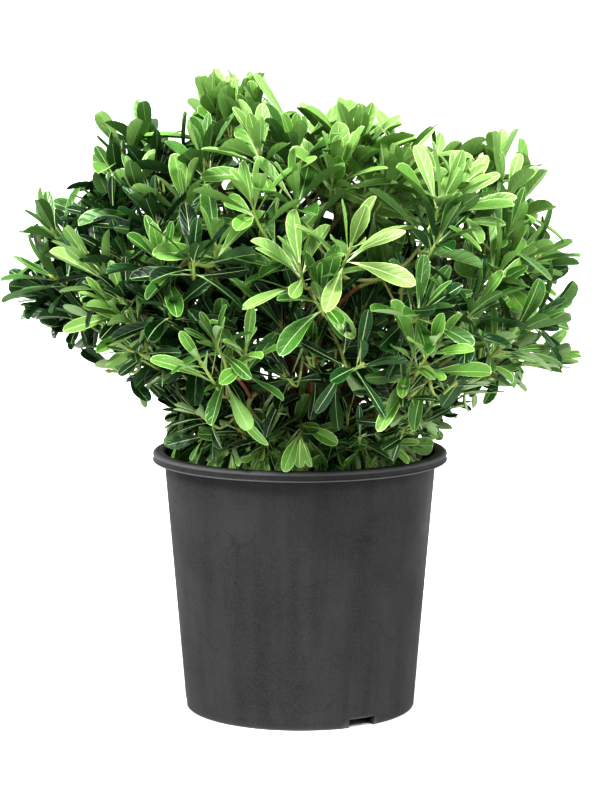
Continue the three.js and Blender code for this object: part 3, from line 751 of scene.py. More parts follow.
def growLimbs(masses):
    limbs = []

    def addLimb(name, points, radius, tipRadius):
        limbs.append({"name": name, "points": evenSteps(points, 200), "radii": (radius, tipRadius)})
        return limbs[-1]

    foot = np.array([0, 0, soil["top"] + stem["clearance"]])
    top = np.array([stem["lean"], -stem["lean"] / 2, soil["top"] + stem["height"]])
    bend = np.array([0, 0, soil["top"] + stem["height"] / 2])
    trunk = addLimb("stem", bezier([foot, bend, top]), stem["neckRadius"], stem["topRadius"])

    mains = []
    for i, mass in enumerate(mass for mass in masses if mass["ring"] == "shoulder"):
        height = soil["top"] + bough["leaveHeight"] + (i % 2) * bough["stagger"]
        start = np.array([0, 0, height]) + mass["outward"] * bough["offAxis"]
        end = crownPoint(mass["tilt"], mass["bearing"], bough["mainReach"])
        points = bendBetween(start, climbing(mass["outward"], bough["mainClimb"]), end, mass["way"])
        mass["limb"] = addLimb(f"bough_main_{i + 1}", points, bough["mainRadius"], bough["mainTip"])
        mains.append(mass["limb"])

    first, *others = [mass for mass in masses if mass["ring"] == "top"]
    end = crownPoint(first["tilt"], first["bearing"], bough["leaderReach"])
    points = bendBetween(trunk["points"][-1], tipHeading(trunk["points"]), end, first["way"])
    leader = addLimb("bough_leader", points, bough["leaderRadius"], bough["leaderTip"])
    first["limb"] = leader
    for i, mass in enumerate(others):
        start = atShare(leader["points"], bough["leaveShare"] + bough["sideStagger"] * i)
        end = crownPoint(mass["tilt"], mass["bearing"], bough["sideReach"])
        points = bendBetween(start, climbing(mass["outward"], bough["sideClimb"]), end, mass["way"])
        mass["limb"] = addLimb(f"bough_top_{i + 1}", points, bough["sideRadius"], bough["sideTip"])

    for i, mass in enumerate(mass for mass in masses if mass["ring"] == "skirt"):
        carrier = max(mains, key=lambda main: np.dot(tipHeading(main["points"]), mass["outward"]))
        start = atShare(carrier["points"], bough["leaveShare"] - bough["sideStagger"] * (i % 2))
        end = crownPoint(mass["tilt"] - bough["raised"], mass["bearing"], bough["sideReach"])
        points = bendBetween(start, end - start, end, climbing(mass["outward"], bough["arrivingClimb"]))
        mass["limb"] = addLimb(f"bough_side_{i + 1}", points, bough["sideRadius"], bough["sideTip"])
    return limbs


masses = layOutMasses()
limbs = growLimbs(masses)


# Bark: each limb is a tube with ridges, swellings and leaf scars, started inside what carries it
bark = {
    "sides": 22, "stemSides": 32, "step": 2.6, "fewestRings": 12,
    "ridge": 0.07, "ridgeRound": 2.2, "ridgeAlong": 0.035, "swell": 0.09, "scarEvery": 21, "scarWidth": 2.2,
    # the ridge colour is worn bark together with a painted highlight on the ridge tops
    "seedStep": 7.7, "mapLength": 9, "wearAndHighlight": srgb(148, 118, 90),
    "old": (srgb(94, 62, 46), srgb(126, 92, 68)), "young": (srgb(112, 84, 52), srgb(138, 112, 70)),
}
fibres = {  # fine roots, bark strips and pale old petioles that lie on the soil
    "count": 90, "fromWall": 6, "halfLength": (9, 28), "bow": 0.6, "thick": (0.45, 1.1), "arch": (0, 6),
    "steps": 9, "sides": 6, "relief": 0.8, "smoothAngle": 40, "shares": [0.4, 0.35, 0.25],
    "finishes": [
        ("redRoot", (122, 70, 46), 0.85, 0.2, 0.8, 800), ("barkStrip", (88, 60, 42), 0.88, 0.2, 0.9, 800),
        ("paleFibre", (206, 196, 170), 0.75, 0.3, 0.5, 800),
    ],
}


def barkFinish(name, dark, light):
    finish, tree, shader = newFinish(name, 0.82, 0.25)
    way = addNode(tree, "ShaderNodeAttribute", attribute_name="barkWay").outputs["Vector"]
    ridges = useGroup(tree, "bark", Way=way, Scale=1.5)
    tone = useGroup(tree, "mottle", Vector=objectPlace(tree), Scale=60.0, First=dark, Second=light)
    # ridge tops lighter: worn bark and a painted highlight
    colour = mixColours(tree, ridges["Mask"], tone["Color"], bark["wearAndHighlight"])
    setInputs(tree, shader, {"Base Color": colour})
    grain = useGroup(tree, "grain", Vector=objectPlace(tree), Scale=1400.0, Roughness=0.7)
    bumpFrom(tree, shader, [(ridges["Height"], 0.8, 0.9), (grain["Height"], 0.4, 0.15)])
    return finish


def limbRadii(limb, share):
    first, last = limb["radii"]
    radii = first + (last - first) * share
    if limb["name"] == "stem":
        flare = np.clip(1 - share / stem["flareShare"], 0, None) ** 2
        radii = radii + (stem["flareRadius"] - stem["neckRadius"]) * flare
    return radii


def barkTube(points, radii, sides, seed, relief=1.0):
    tangents, normals, binormals = framesAlong(points)
    along = np.concatenate([[0], np.cumsum(stepsOf(points))])
    turn = np.linspace(0, 2 * math.pi, sides, endpoint=False)
    ring = np.zeros((len(points), sides, 3))
    way = np.zeros((len(points), sides, 3))
    for i, (centre, radius) in enumerate(zip(points, radii)):
        scar = math.exp(-((along[i] % bark["scarEvery"]) / bark["scarWidth"]) ** 2)
        height = along[i] * bark["ridgeAlong"] + seed * bark["seedStep"]
        for j, angle in enumerate(turn):
            cosine, sine = math.cos(angle), math.sin(angle)
            place = Vector((cosine * bark["ridgeRound"], sine * bark["ridgeRound"], height))
            ridge = noise.fractal(place, 0.8, 2.0, 4) * bark["ridge"]
            grown = radius * (1 + relief * (ridge + scar * bark["swell"]))
            ring[i, j] = centre + grown * (normals[i] * cosine + binormals[i] * sine)
            way[i, j] = (cosine, sine, along[i] / bark["mapLength"] + seed)
    faces = []
    for i in range(len(points) - 1):
        for j in range(sides):
            a, b = i * sides + j, i * sides + (j + 1) % sides
            faces.append((a, b, b + sides, a + sides))
    last = (len(points) - 1) * sides
    faces.append(tuple(range(sides - 1, -1, -1)))
    faces.append(tuple(range(last, last + sides)))
    return ring.reshape(-1, 3), faces, way.reshape(-1, 3)


def makeLimbs():
    old, young = barkFinish("oldBark", *bark["old"]), barkFinish("youngBark", *bark["young"])
    for number, limb in enumerate(limbs):
        points, isStem = limb["points"], limb["name"] == "stem"
        if isStem:  # its foot goes down into the soil
            points = np.vstack([points[0] - np.array([0, 0, stem["intoSoil"]]), points])
        count = max(bark["fewestRings"], int(stepsOf(points).sum() / bark["step"]))
        radii = limbRadii(limb, np.linspace(0, 1, count))
        sides = bark["stemSides" if isStem else "sides"]
        ring, faces, way = barkTube(evenSteps(points, count), radii, sides, number)
        piece = newPiece("bark_" + limb["name"], ring, faces, way=way)
        smoothPiece(piece)
        finish = young if "side" in limb["name"] or "top" in limb["name"] else old
        dress(piece, [finish], [limb["name"]])


def makeFibres():
    rng = np.random.RandomState(11)
    parts, slots, ways = [], [], []
    edge, steps = soilEdge - fibres["fromWall"], fibres["steps"]
    for n in range(fibres["count"]):
        reach = edge * math.sqrt(rng.random())
        turn = rng.random() * 2 * math.pi
        middle = np.array([reach * math.cos(turn), reach * math.sin(turn)])
        heading = rng.random() * 2 * math.pi
        half = np.array([math.cos(heading), math.sin(heading)]) * rng.uniform(*fibres["halfLength"])
        side = np.array([-half[1], half[0]]) * rng.uniform(-fibres["bow"], fibres["bow"])
        corners = [middle - half, middle - half * 0.3 + side, middle + half * 0.3 - side, middle + half]
        course = bezier([np.append(corner, 0) for corner in corners], steps)
        if not (np.linalg.norm(course[:, :2], axis=1) < edge).all():
            continue
        for place in course:
            place[2] = soilHeight(place[0], place[1])
        thick = rng.uniform(*fibres["thick"])
        course[:, 2] += thick * 0.7 + np.sin(np.linspace(0, math.pi, steps)) * rng.uniform(*fibres["arch"])
        ring, tube, way = barkTube(course, np.full(steps, thick), fibres["sides"], n, fibres["relief"])
        parts.append((ring, tube))
        slots += [int(rng.choice(3, p=fibres["shares"]))] * len(tube)
        ways.append(way)
    piece = newPiece("soilFibres", *joined(parts), slots, way=np.vstack(ways))
    smoothPiece(piece, fibres["smoothAngle"])
    dress(piece, plainFinishes(fibres["finishes"]))


makeLimbs()
makeFibres()
printStage("limbs and fibres")


# Foliage by the source's rule, carried to finer twigs: sprays of leaves spread by the golden angle over
# the outline, joined to their mass's bough by twigs that fork
foliage = {
    "seed": 23, "outer": 220, "inner": 134, "innerShare": 0.64, "wanderTilt": 4, "wanderBearing": 7,
    "jitter": 0.14, "sunk": 38, "gather": 0.05, "rise": 0.6, "thinning": 1.1, "straightness": 0.45,
    "turnTilt": 9, "turnBearing": 12, "forkShare": 0.42, "arrival": 26, "longestStretch": 3.2,
    "drawIn": 0.12, "tries": 5, "rootReach": 6, "fewest": 4,
    "potRoom": 2.5, "frontRoom": 38, "tipSpare": (2, 36), "featureSpare": -4, "lowSpare": 2,
    "low": 44, "lowRing": (48, 84), "lowHeights": (266, 34), "lowTilt": 96,
    "lowArch": (20, 54), "lowFoot": (0.4, 1), "lowOffAxis": 0.6, "lowSteps": 16,
}
featureSprays = [  # those that stand out: tilt, bearing, how far past the others, tone, rise, stretch
    (14, 180, -24, 3.7, 0.2, 1), (9, 176, -18, 3.4, 0.1, 1), (15, 205, -28, 3.0, 0.4, 1),
    (34, 181, -10, 2.6, 0.2, 1), (29, 178, -20, 2.2, 0.2, 1), (38, 186, -22, 1.8, 0.7, 1),
    (8, 0, -9, 3.6, 0.2, 1), (39, 0, 0, 3.8, 0.4, 1), (46, 2, -3, 3.4, 0.5, 1), (28, -8, -8, 3.8, 0.4, 1),
    (53, 182, 0, 2.4, 0.5, 1), (63, 184, -14, 1.0, 1.0, 1), (66, 190, -30, 0.7, 1.1, 1),
    (56, -2, -11, 2.2, 0.9, 1.6), (77, -3, -7, 3.2, 1.0, 2), (68, -8, -12, 1.6, 0.9, 1),
    (52, -79, -6, 5.3, 0.7, 1.4), (56, -143, 4, 4.4, 0.6, 4.5), (63, -134, -2, 3.6, 0.6, 3.5),
    (22, -60, -2, 4.1, 0.4, 1), (24, -30, 0, 4.2, 0.4, 1), (14, -90, -4, 3.6, 0.4, 1),
    (44, -52, -2, 3.7, 0.5, 1), (70, 178, -6, 1.3, 1.1, 1), (76, 187, -2, 1.5, 1.2, 1),
    (60, 197, -8, 2.1, 0.8, 1), (66, 172, -10, 0.8, 1, 1), (70, -62, 4, 3.4, 0.7, 2.5),
    (72, -112, 4, 3.6, 0.7, 2.5), (68, -36, 4, 2.2, 0.7, 2),
]
hangingShoots = [  # low shoots whose leaves hang over the soil at the front: bearing, reach, height
    (-134, 96, 282), (-124, 104, 276), (-114, 98, 284), (-106, 108, 274), (-97, 100, 282), (-88, 96, 288),
    (-79, 106, 276), (-70, 100, 284), (-60, 106, 278), (-50, 98, 286), (-101, 74, 280), (-83, 70, 276),
]
clearings = {"outer": [(74, -89, 10), (50, -79, 9)], "inner": [(74, -89, 7)]}  # tilt, bearing, how wide
goldenAngle = 180 * (3 - math.sqrt(5))
dice = random.Random(foliage["seed"])


def spread(amount):
    return dice.uniform(-amount, amount)


def insideOutline(point, room):
    x, y, z = point - crownBase
    tilt, bearing = math.degrees(math.atan2(math.hypot(x, y), z)), math.degrees(math.atan2(y, x))
    return np.linalg.norm(point - crownBase) < outlineAt(tilt, bearing) + room


def insideFront(point, room):
    # whether the point, seen from the camera, lies inside the outline with so much room to spare
    nearness = studio["distance"] / (studio["distance"] + point[1])
    across = point[0] * nearness
    up = studio["height"] + (point[2] - studio["height"]) * nearness
    away = math.hypot(across, up - crown["frontMiddle"])
    up += (up - crown["frontMiddle"]) * room / away
    across += across * room / away
    inside = False
    corners = crown["front"]
    for (ax, az), (bx, bz) in zip(corners, corners[1:] + corners[:1]):
        if (az > up) != (bz > up) and across < ax + (bx - ax) * (up - az) / (bz - az):
            inside = not inside
    return inside


def insideBox(point, room=1.5):
    low, high = cadBox
    return all(low[n] / mm + room < point[n] < high[n] / mm - room for n in range(3))


def clearOfPot(point, room):
    level = math.hypot(point[0], point[1])
    insideMouth = level < innerRadiusAt(pot["height"]) - room - 1
    return point[2] > room + (soil["top"] if insideMouth else pot["height"]) + 1


def ownerOf(point):
    return min(masses, key=lambda mass: np.linalg.norm(mass["middle"] - point))


def inClearing(kind, tilt, bearing):
    way = crownDirection(tilt, bearing)
    return any(way.angle(crownDirection(a, b)) < math.radians(wide) for a, b, wide in clearings[kind])


def addSpray(mass, point, axis, kind, tilt, bearing, **looks):
    axis = unit(np.array(axis) + foliage["straightness"] * unit(point - mass["middle"]))
    mass["sprays"].append({
        "point": point, "axis": axis, "kind": kind, "tilt": tilt, "bearing": bearing, **looks})


def laySprays(count, share, kind):
    lowest = math.cos(math.radians(crown["lowestTilt"]))
    for i in range(count):
        height = 1 - (i + 0.5) / count * (1 - lowest)
        tilt = max(0.5, math.degrees(math.acos(height)) + spread(foliage["wanderTilt"]))
        bearing = i * goldenAngle + spread(foliage["wanderBearing"])
        room = outlineAt(tilt, bearing) / crown["outline"][0][1]
        if dice.random() > room ** foliage["thinning"] or inClearing(kind, tilt, bearing):
            continue
        mass = ownerOf(crownPoint(tilt, bearing, 1))
        depth = share * (1 - dice.random() * foliage["jitter"])
        outward = np.array(crownDirection(tilt, bearing))
        point = crownPoint(tilt, bearing, depth) - outward * foliage["sunk"]
        spine = crownBase + mass["way"] * np.linalg.norm(point - crownBase)
        point = point + (spine - point) * foliage["gather"]
        for attempt in range(foliage["tries"]):
            if insideFront(point, foliage["frontRoom"]):
                break
            point = crownBase + (point - crownBase) * (1 - foliage["drawIn"] / 2)
        axisTilt = tilt * foliage["rise"] + spread(foliage["turnTilt"])
        axis = crownDirection(axisTilt, bearing + spread(foliage["turnBearing"]))
        addSpray(mass, point, axis, kind, tilt, bearing)


def placeSprays():
    for tilt, bearing, lift, tone, rise, stretch in featureSprays:
        tip = crownPoint(tilt, bearing, 1)
        point = tip + np.array(crownDirection(tilt, bearing)) * (lift - foliage["sunk"])
        axis = crownDirection(tilt * rise, bearing)
        addSpray(ownerOf(tip), point, axis, "feature", tilt, bearing, tone=tone, stretch=stretch)
    laySprays(foliage["outer"], 1, "outer")
    laySprays(foliage["inner"], foliage["innerShare"], "inner")
    innermost, reach = foliage["lowRing"]
    lowest, rise = foliage["lowHeights"]
    for i in range(foliage["low"]):  # small shoots that lean out over the soil and the rim
        bearing = i * goldenAngle
        level = innermost + reach * math.sqrt((i + 0.5) / foliage["low"])
        height = lowest + dice.uniform(0, rise)
        if i < len(hangingShoots):
            bearing, level, height = hangingShoots[i]
        point = onRing(level, bearing, height)
        spray = {"point": point, "kind": "low", "tilt": foliage["lowTilt"], "bearing": bearing}
        heading = unit(point * [1, 1, 0])
        nearest = min(masses, key=lambda mass: np.linalg.norm(mass["outward"] - heading)
                      + (0 if mass["ring"] == "skirt" else 9))  # the skirt's masses come first
        nearest["low"].append(spray)


def splitGroup(group):
    # the sprays nearer to each of the two furthest apart, the larger share first
    def apart(one, other):
        return np.linalg.norm(one["point"] - other["point"])

    one, other = max(((a, b) for a in group for b in group), key=lambda pair: apart(*pair))
    near = [spray for spray in group if apart(spray, one) < apart(spray, other)]
    rest = [spray for spray in group if not any(spray is taken for taken in near)]
    return (near, rest) if len(near) >= len(rest) else (rest, near)


def planTwig(start, group):
    way, forks = [np.array(start)], []
    while len(group) > 1:
        group, leaving = splitGroup(group)
        middle = np.mean([spray["point"] for spray in group + leaving], axis=0)
        way.append(way[-1] + (middle - way[-1]) * foliage["forkShare"])
        forks.append((way[-1], leaving))
    end = group[0]
    arrival = foliage["arrival"] * min(foliage["longestStretch"], end.get("stretch", 1))
    way += [end["point"] - end["axis"] * arrival, end["point"]]
    return way, forks, end


def growTwig(mass, start, group, twigs):
    if not group:
        return
    way, forks, end = planTwig(start, group)
    points = throughPoints(way)
    if not all(clearOfPot(p, foliage["potRoom"]) for p in evenSteps(points, 12)[2:]):
        end["point"] = end["point"] + (mass["middle"] - end["point"]) * foliage["drawIn"]
        end["pulls"] = end.get("pulls", 0) + 1
        growTwig(mass, start, [s for s in group if s is not end or s["pulls"] < foliage["tries"]], twigs)
        return
    twigs.append({"points": points, "carried": len(group), "spray": end})
    for fork, leaving in forks:
        growTwig(mass, fork, leaving, twigs)


# Leaf: rows from its foot to its blunt tip, with margins, two halves, a midrib and a closed underside
leaf = {
    "length": 68, "width": 17.2, "thick": 0.45, "margin": 0.7, "marginShare": 0.3, "foldAt": 0.55,
    "rib": 0.66, "ribTaper": (1.15, 0.8), "ribShare": 0.6, "ribSunk": 0.25, "keel": 0.3, "wideFrom": 2,
    "rows": [0.0, 0.05, 0.2, 0.36, 0.52, 0.67, 0.8, 0.91, 0.975, 1.0],
    "blunt": [0.05, 0.07, 0.17, 0.42, 0.74, 0.97, 1.0, 0.82, 0.5, 0.0],
    "slim": [0.05, 0.07, 0.24, 0.6, 0.88, 1.0, 0.9, 0.62, 0.3, 0.0],
    "fold": (0.15, 0.8), "roll": (0.0, 0.22), "sway": 0.09, "twist": 0.65, "bend": (0.05, 0.7),
    "widths": (0.78, 1.22), "sizes": (0.88, 1.08), "potRoom": 1.5, "boxRoom": 0.5, "tries": 6,
    "keelShare": 0.8, "middleAt": 0.55, "tipAt": 0.97, "fall": 0.45, "smoothAngle": 42,
}
leafParts = ["margin", "blade", "blade", "rib", "blade", "blade", "margin", "under", "rib", "under"]
tones = ["deepGreen", "blueGreen", "midGreen", "freshGreen", "yellowGreen", "paleYoung"]
toneParts = [  # midrib, margin and underside for each tone; the lighter margins are a painted highlight along the leaf's edge
    ("midrib", "deepMarginHighlight", "deepUnderside"), ("midrib", "deepMarginHighlight", "deepUnderside"),
    ("midrib", "leafMarginHighlight", "underside"), ("midrib", "youngMarginHighlight", "youngUnderside"),
    ("youngMidrib", "youngMarginHighlight", "youngUnderside"), ("youngMidrib", "youngMarginHighlight", "youngUnderside"),
]
leafFinishes = [
    ("deepGreen", (13, 38, 12), 0.31, 0.4, 0.25, 900, True),
    ("blueGreen", (28, 65, 28), 0.31, 0.4, 0.25, 900, True),
    ("midGreen", (63, 103, 41), 0.33, 0.4, 0.25, 900, True),
    ("freshGreen", (97, 138, 62), 0.35, 0.4, 0.25, 900, True),
    ("yellowGreen", (112, 147, 76), 0.38, 0.4, 0.25, 900, True),
    ("paleYoung", (115, 140, 78), 0.42, 0.4, 0.25, 900, True),
    ("midrib", (148, 169, 118), 0.5, 0.4, 0.2, 900),
    ("youngMidrib", (176, 196, 144), 0.5, 0.4, 0.2, 900),
    # the margin colours, lighter than their blades, are a painted highlight along the leaf's edge
    ("leafMarginHighlight", (116, 150, 86), 0.42, 0.5, 0.2, 900),
    ("youngMarginHighlight", (156, 182, 118), 0.45, 0.5, 0.2, 900),
    ("underside", (82, 114, 62), 0.55, 0.35, 0.3, 900, True),
    ("youngUnderside", (120, 154, 88), 0.52, 0.35, 0.3, 900, True),
    ("paleUnderside", (138, 162, 116), 0.55, 0.4, 0.3, 900, True),
    ("deepMarginHighlight", (60, 95, 52), 0.42, 0.5, 0.2, 900),
    ("deepUnderside", (48, 79, 42), 0.5, 0.35, 0.3, 900, True),
]
leafSlots = {row[0]: slot for slot, row in enumerate(leafFinishes)}


def leafPoints(leaves):
    # leaves is a list of dictionaries; every leaf has the same rows, so all are placed at once
    count, inner = len(leaves), len(leaf["rows"]) - 2

    def column(key):
        return np.array([one[key] for one in leaves], float)

    root, along, across, face = (column(key)[:, None, :] for key in ("root", "along", "across", "face"))
    length, width, slimness = (column(key)[:, None] for key in ("length", "width", "slimness"))
    bend, fold, roll, sway, twist = (
        column(key)[:, None] for key in ("bend", "fold", "roll", "sway", "twist"))
    t, blunt, slim = (np.array(leaf[key])[None, :] for key in ("rows", "blunt", "slim"))
    half = (blunt + (slim - blunt) * slimness) * width / 2
    curl = np.where(np.abs(bend) < 1e-3, 1e-3, bend)
    y = length * np.sin(curl * t) / curl
    z = -length * (1 - np.cos(curl * t)) / curl
    shift = sway * length * t ** 2
    leanY, leanZ = np.sin(curl * t), np.cos(curl * t)
    margin = np.minimum(leaf["margin"], half * leaf["marginShare"])
    ribFoot, ribTaper = leaf["ribTaper"]
    rib = np.minimum(leaf["rib"] * (ribFoot - ribTaper * t), half * leaf["ribShare"])
    middle = half * leaf["foldAt"]
    offsets = [-half, -half + margin, -middle, -rib, rib, middle, half - margin, half]
    wide = half > leaf["wideFrom"]

    def at(x, lift):
        cosine, sine = np.cos(twist * t), np.sin(twist * t)
        sideways, upward = x * cosine - lift * sine, x * sine + lift * cosine
        return (root
                + across * (sideways + shift)[..., None]
                + along * (y + upward * leanY)[..., None]
                + face * (z + upward * leanZ)[..., None])

    def lift(x):
        share = np.abs(x) / np.maximum(half, 1e-6)
        return fold * np.abs(x) - roll * share ** 3 * half

    lifts = [lift(x) - (leaf["ribSunk"] if n in (3, 4) else 0) * wide for n, x in enumerate(offsets)]
    columns = [at(x, height) for x, height in zip(offsets, lifts)]
    keelHalf = rib * leaf["keelShare"]
    keel = [at(x, -leaf["thick"] - leaf["keel"] * wide) for x in (keelHalf, -keelHalf)]
    ring = len(columns) + len(keel)
    grid = np.stack(columns + keel, axis=2)  # leaf, row, column, xyz
    ends = np.stack([grid[:, 0, 3:5].mean(axis=1), grid[:, -1, 3:5].mean(axis=1)], axis=1)
    points = np.concatenate([grid[:, 1:-1].reshape(count, inner * ring, 3), ends], axis=1)
    places = [0.5 + np.clip(x / np.maximum(half, 1e-6), -1, 1) / 2 for x in offsets]
    u = np.stack(places + [half * 0 + 0.5] * len(keel), axis=2)
    uv = np.stack([u, np.broadcast_to(t[..., None], u.shape)], axis=3)[:, 1:-1]
    uvEnds = np.tile(np.array([[[0.5, 0.0], [0.5, 1.0]]]), (count, 1, 1))
    return points, np.concatenate([uv.reshape(count, inner * ring, 2), uvEnds], axis=1)


def leafFaces():
    # one leaf's faces, and the part of the leaf that each belongs to
    rows, ring = len(leaf["rows"]) - 2, len(leafParts)
    foot, tip = rows * ring, rows * ring + 1
    faces, kinds = [], []
    for row in range(rows - 1):
        a = row * ring
        for c in range(ring):
            d = (c + 1) % ring
            faces.append((a + c, a + d, a + ring + d, a + ring + c))
            kinds.append("rib" if row == 0 else leafParts[c])
    last = (rows - 1) * ring
    for c in range(ring):
        d = (c + 1) % ring
        faces += [(d, c, foot), (last + c, last + d, tip)]
        kinds += ["rib", "margin" if c < 7 else "under"]
    return faces, kinds


def leafMesh(leaves):
    points, uv = leafPoints(leaves)
    low, high = (np.array(corner) / mm for corner in cadBox)
    room = leaf["boxRoom"]
    kept = ((points > low + room) & (points < high - room)).all(axis=(1, 2))
    points, uv = points[kept], uv[kept]
    keptLeaves = [one for one, keep in zip(leaves, kept) if keep]
    faces, kinds = leafFaces()
    allFaces, slots = [], []
    for n, one in enumerate(keptLeaves):
        rib, margin, under = toneParts[one["tone"]]
        names = {"blade": tones[one["tone"]], "rib": rib, "margin": margin,
                 "under": "paleUnderside" if one["pale"] else under}
        place = {kind: leafSlots[name] for kind, name in names.items()}
        base = n * points.shape[1]
        allFaces += [tuple(base + corner for corner in face) for face in faces]
        slots += [place[kind] for kind in kinds]
    return points.reshape(-1, 3), allFaces, slots, uv.reshape(-1, 2)


def newLeaf(root, along, face, length, width, tone, bend, pale=False):
    along = unit(along)
    face = unit(face - along * np.dot(face, along))
    return {
        "root": root, "along": along, "face": face, "across": np.cross(along, face),
        "length": length, "width": width, "tone": tone, "bend": bend, "pale": pale,
        "fold": dice.uniform(*leaf["fold"]), "roll": dice.uniform(*leaf["roll"]),
        "sway": spread(leaf["sway"]), "twist": spread(leaf["twist"]), "slimness": dice.random() ** 1.3,
    }


def leafFits(one, spare, room):
    # its middle and its tip, about where the bend takes them, keep clear of the pot and inside the reach
    middle = one["root"] + one["along"] * one["length"] * leaf["middleAt"]
    fall = one["face"] * one["length"] * one["bend"] * leaf["fall"]
    tip = one["root"] + one["along"] * one["length"] * leaf["tipAt"] - fall
    return (clearOfPot(middle, leaf["potRoom"]) and clearOfPot(tip, leaf["potRoom"])
            and insideOutline(tip, room) and insideFront(tip, spare) and insideFront(middle, spare)
            and insideBox(tip) and insideBox(middle))


def turnedAbout(axis, vector, degrees):
    angle = math.radians(degrees)
    return (vector * math.cos(angle) + np.cross(axis, vector) * math.sin(angle)
            + axis * np.dot(axis, vector) * (1 - math.cos(angle)))


# Sprays: how many leaves each has, how they lean, and how light they are, with light and shade painted into
# their tones
habit = {  # a pair is a range, but a jitter is its start and what each further try adds
    "perSpray": (8, 12), "below": (2, 6), "rosette": 17, "belowStep": 12, "belowJitter": 4, "turn": 137.5,
    "firstLean": 82, "topLean": 54, "lastLean": 9, "belowLean": 70, "closedLean": 0.62, "wideStretch": 1.5,
    "faceUp": 0.7, "faceTurn": 22, "droop": 0.75, "skirtDroop": 0.12,
    "vigour": (0.88, 1.14), "lowVigour": (0.8, 1.35), "kindVigour": {"inner": 0.92, "feature": 1.08},
    "skirtTilt": 58, "skirtSpan": 22, "skirtMost": 1.4, "skirtShrink": 0.26, "skirtNarrow": 0.16,
    "skirtThinner": 1.2, "lowThinner": 2.4, "lowBroad": 1.15, "lowDroop": (0.2, 1.3), "lowSlimness": 0.4,
    "topGrowth": 0.1, "topTilt": 50, "sidelongTilt": 60, "youngShrink": 0.36, "belowSize": 0.9,
    "leafyShare": 0.8, "turnJitter": (12, 9), "leanJitter": (9, 4), "tryShrink": 0.05, "palePerSkirt": 0.7,
}
# the top, tilt, right, left and inner values paint light and shade into the spray tones
shade = {
    "top": 4.2, "perTilt": 34, "lowestTilt": 76, "right": 3.4, "rightTilt": 80, "left": 3.1, "chance": 1.0,
    "inner": 1.9, "low": [1.7, 2.6, 3.4, 4.0, 4.6], "younger": 0.9, "older": 0.5, "jitter": 0.45,
}


def sprayTone(spray):
    # painted light and shade: lighter on top and to the right, darker lower down, inside and to the left
    if "tone" in spray:
        return spray["tone"]
    if spray["kind"] == "low":
        return dice.choice(shade["low"])
    rightward = math.cos(math.radians(spray["bearing"])) * math.sin(math.radians(spray["tilt"]))
    if rightward > 0:
        sideways = shade["right"] * rightward * (1 - spray["tilt"] / shade["rightTilt"])
    else:
        sideways = -shade["left"] * abs(rightward) ** 1.3
    fall = min(spray["tilt"], shade["lowestTilt"]) / shade["perTilt"]
    bright = shade["top"] - fall + sideways + dice.gauss(0, shade["chance"])
    return bright - (shade["inner"] if spray["kind"] == "inner" else 0)


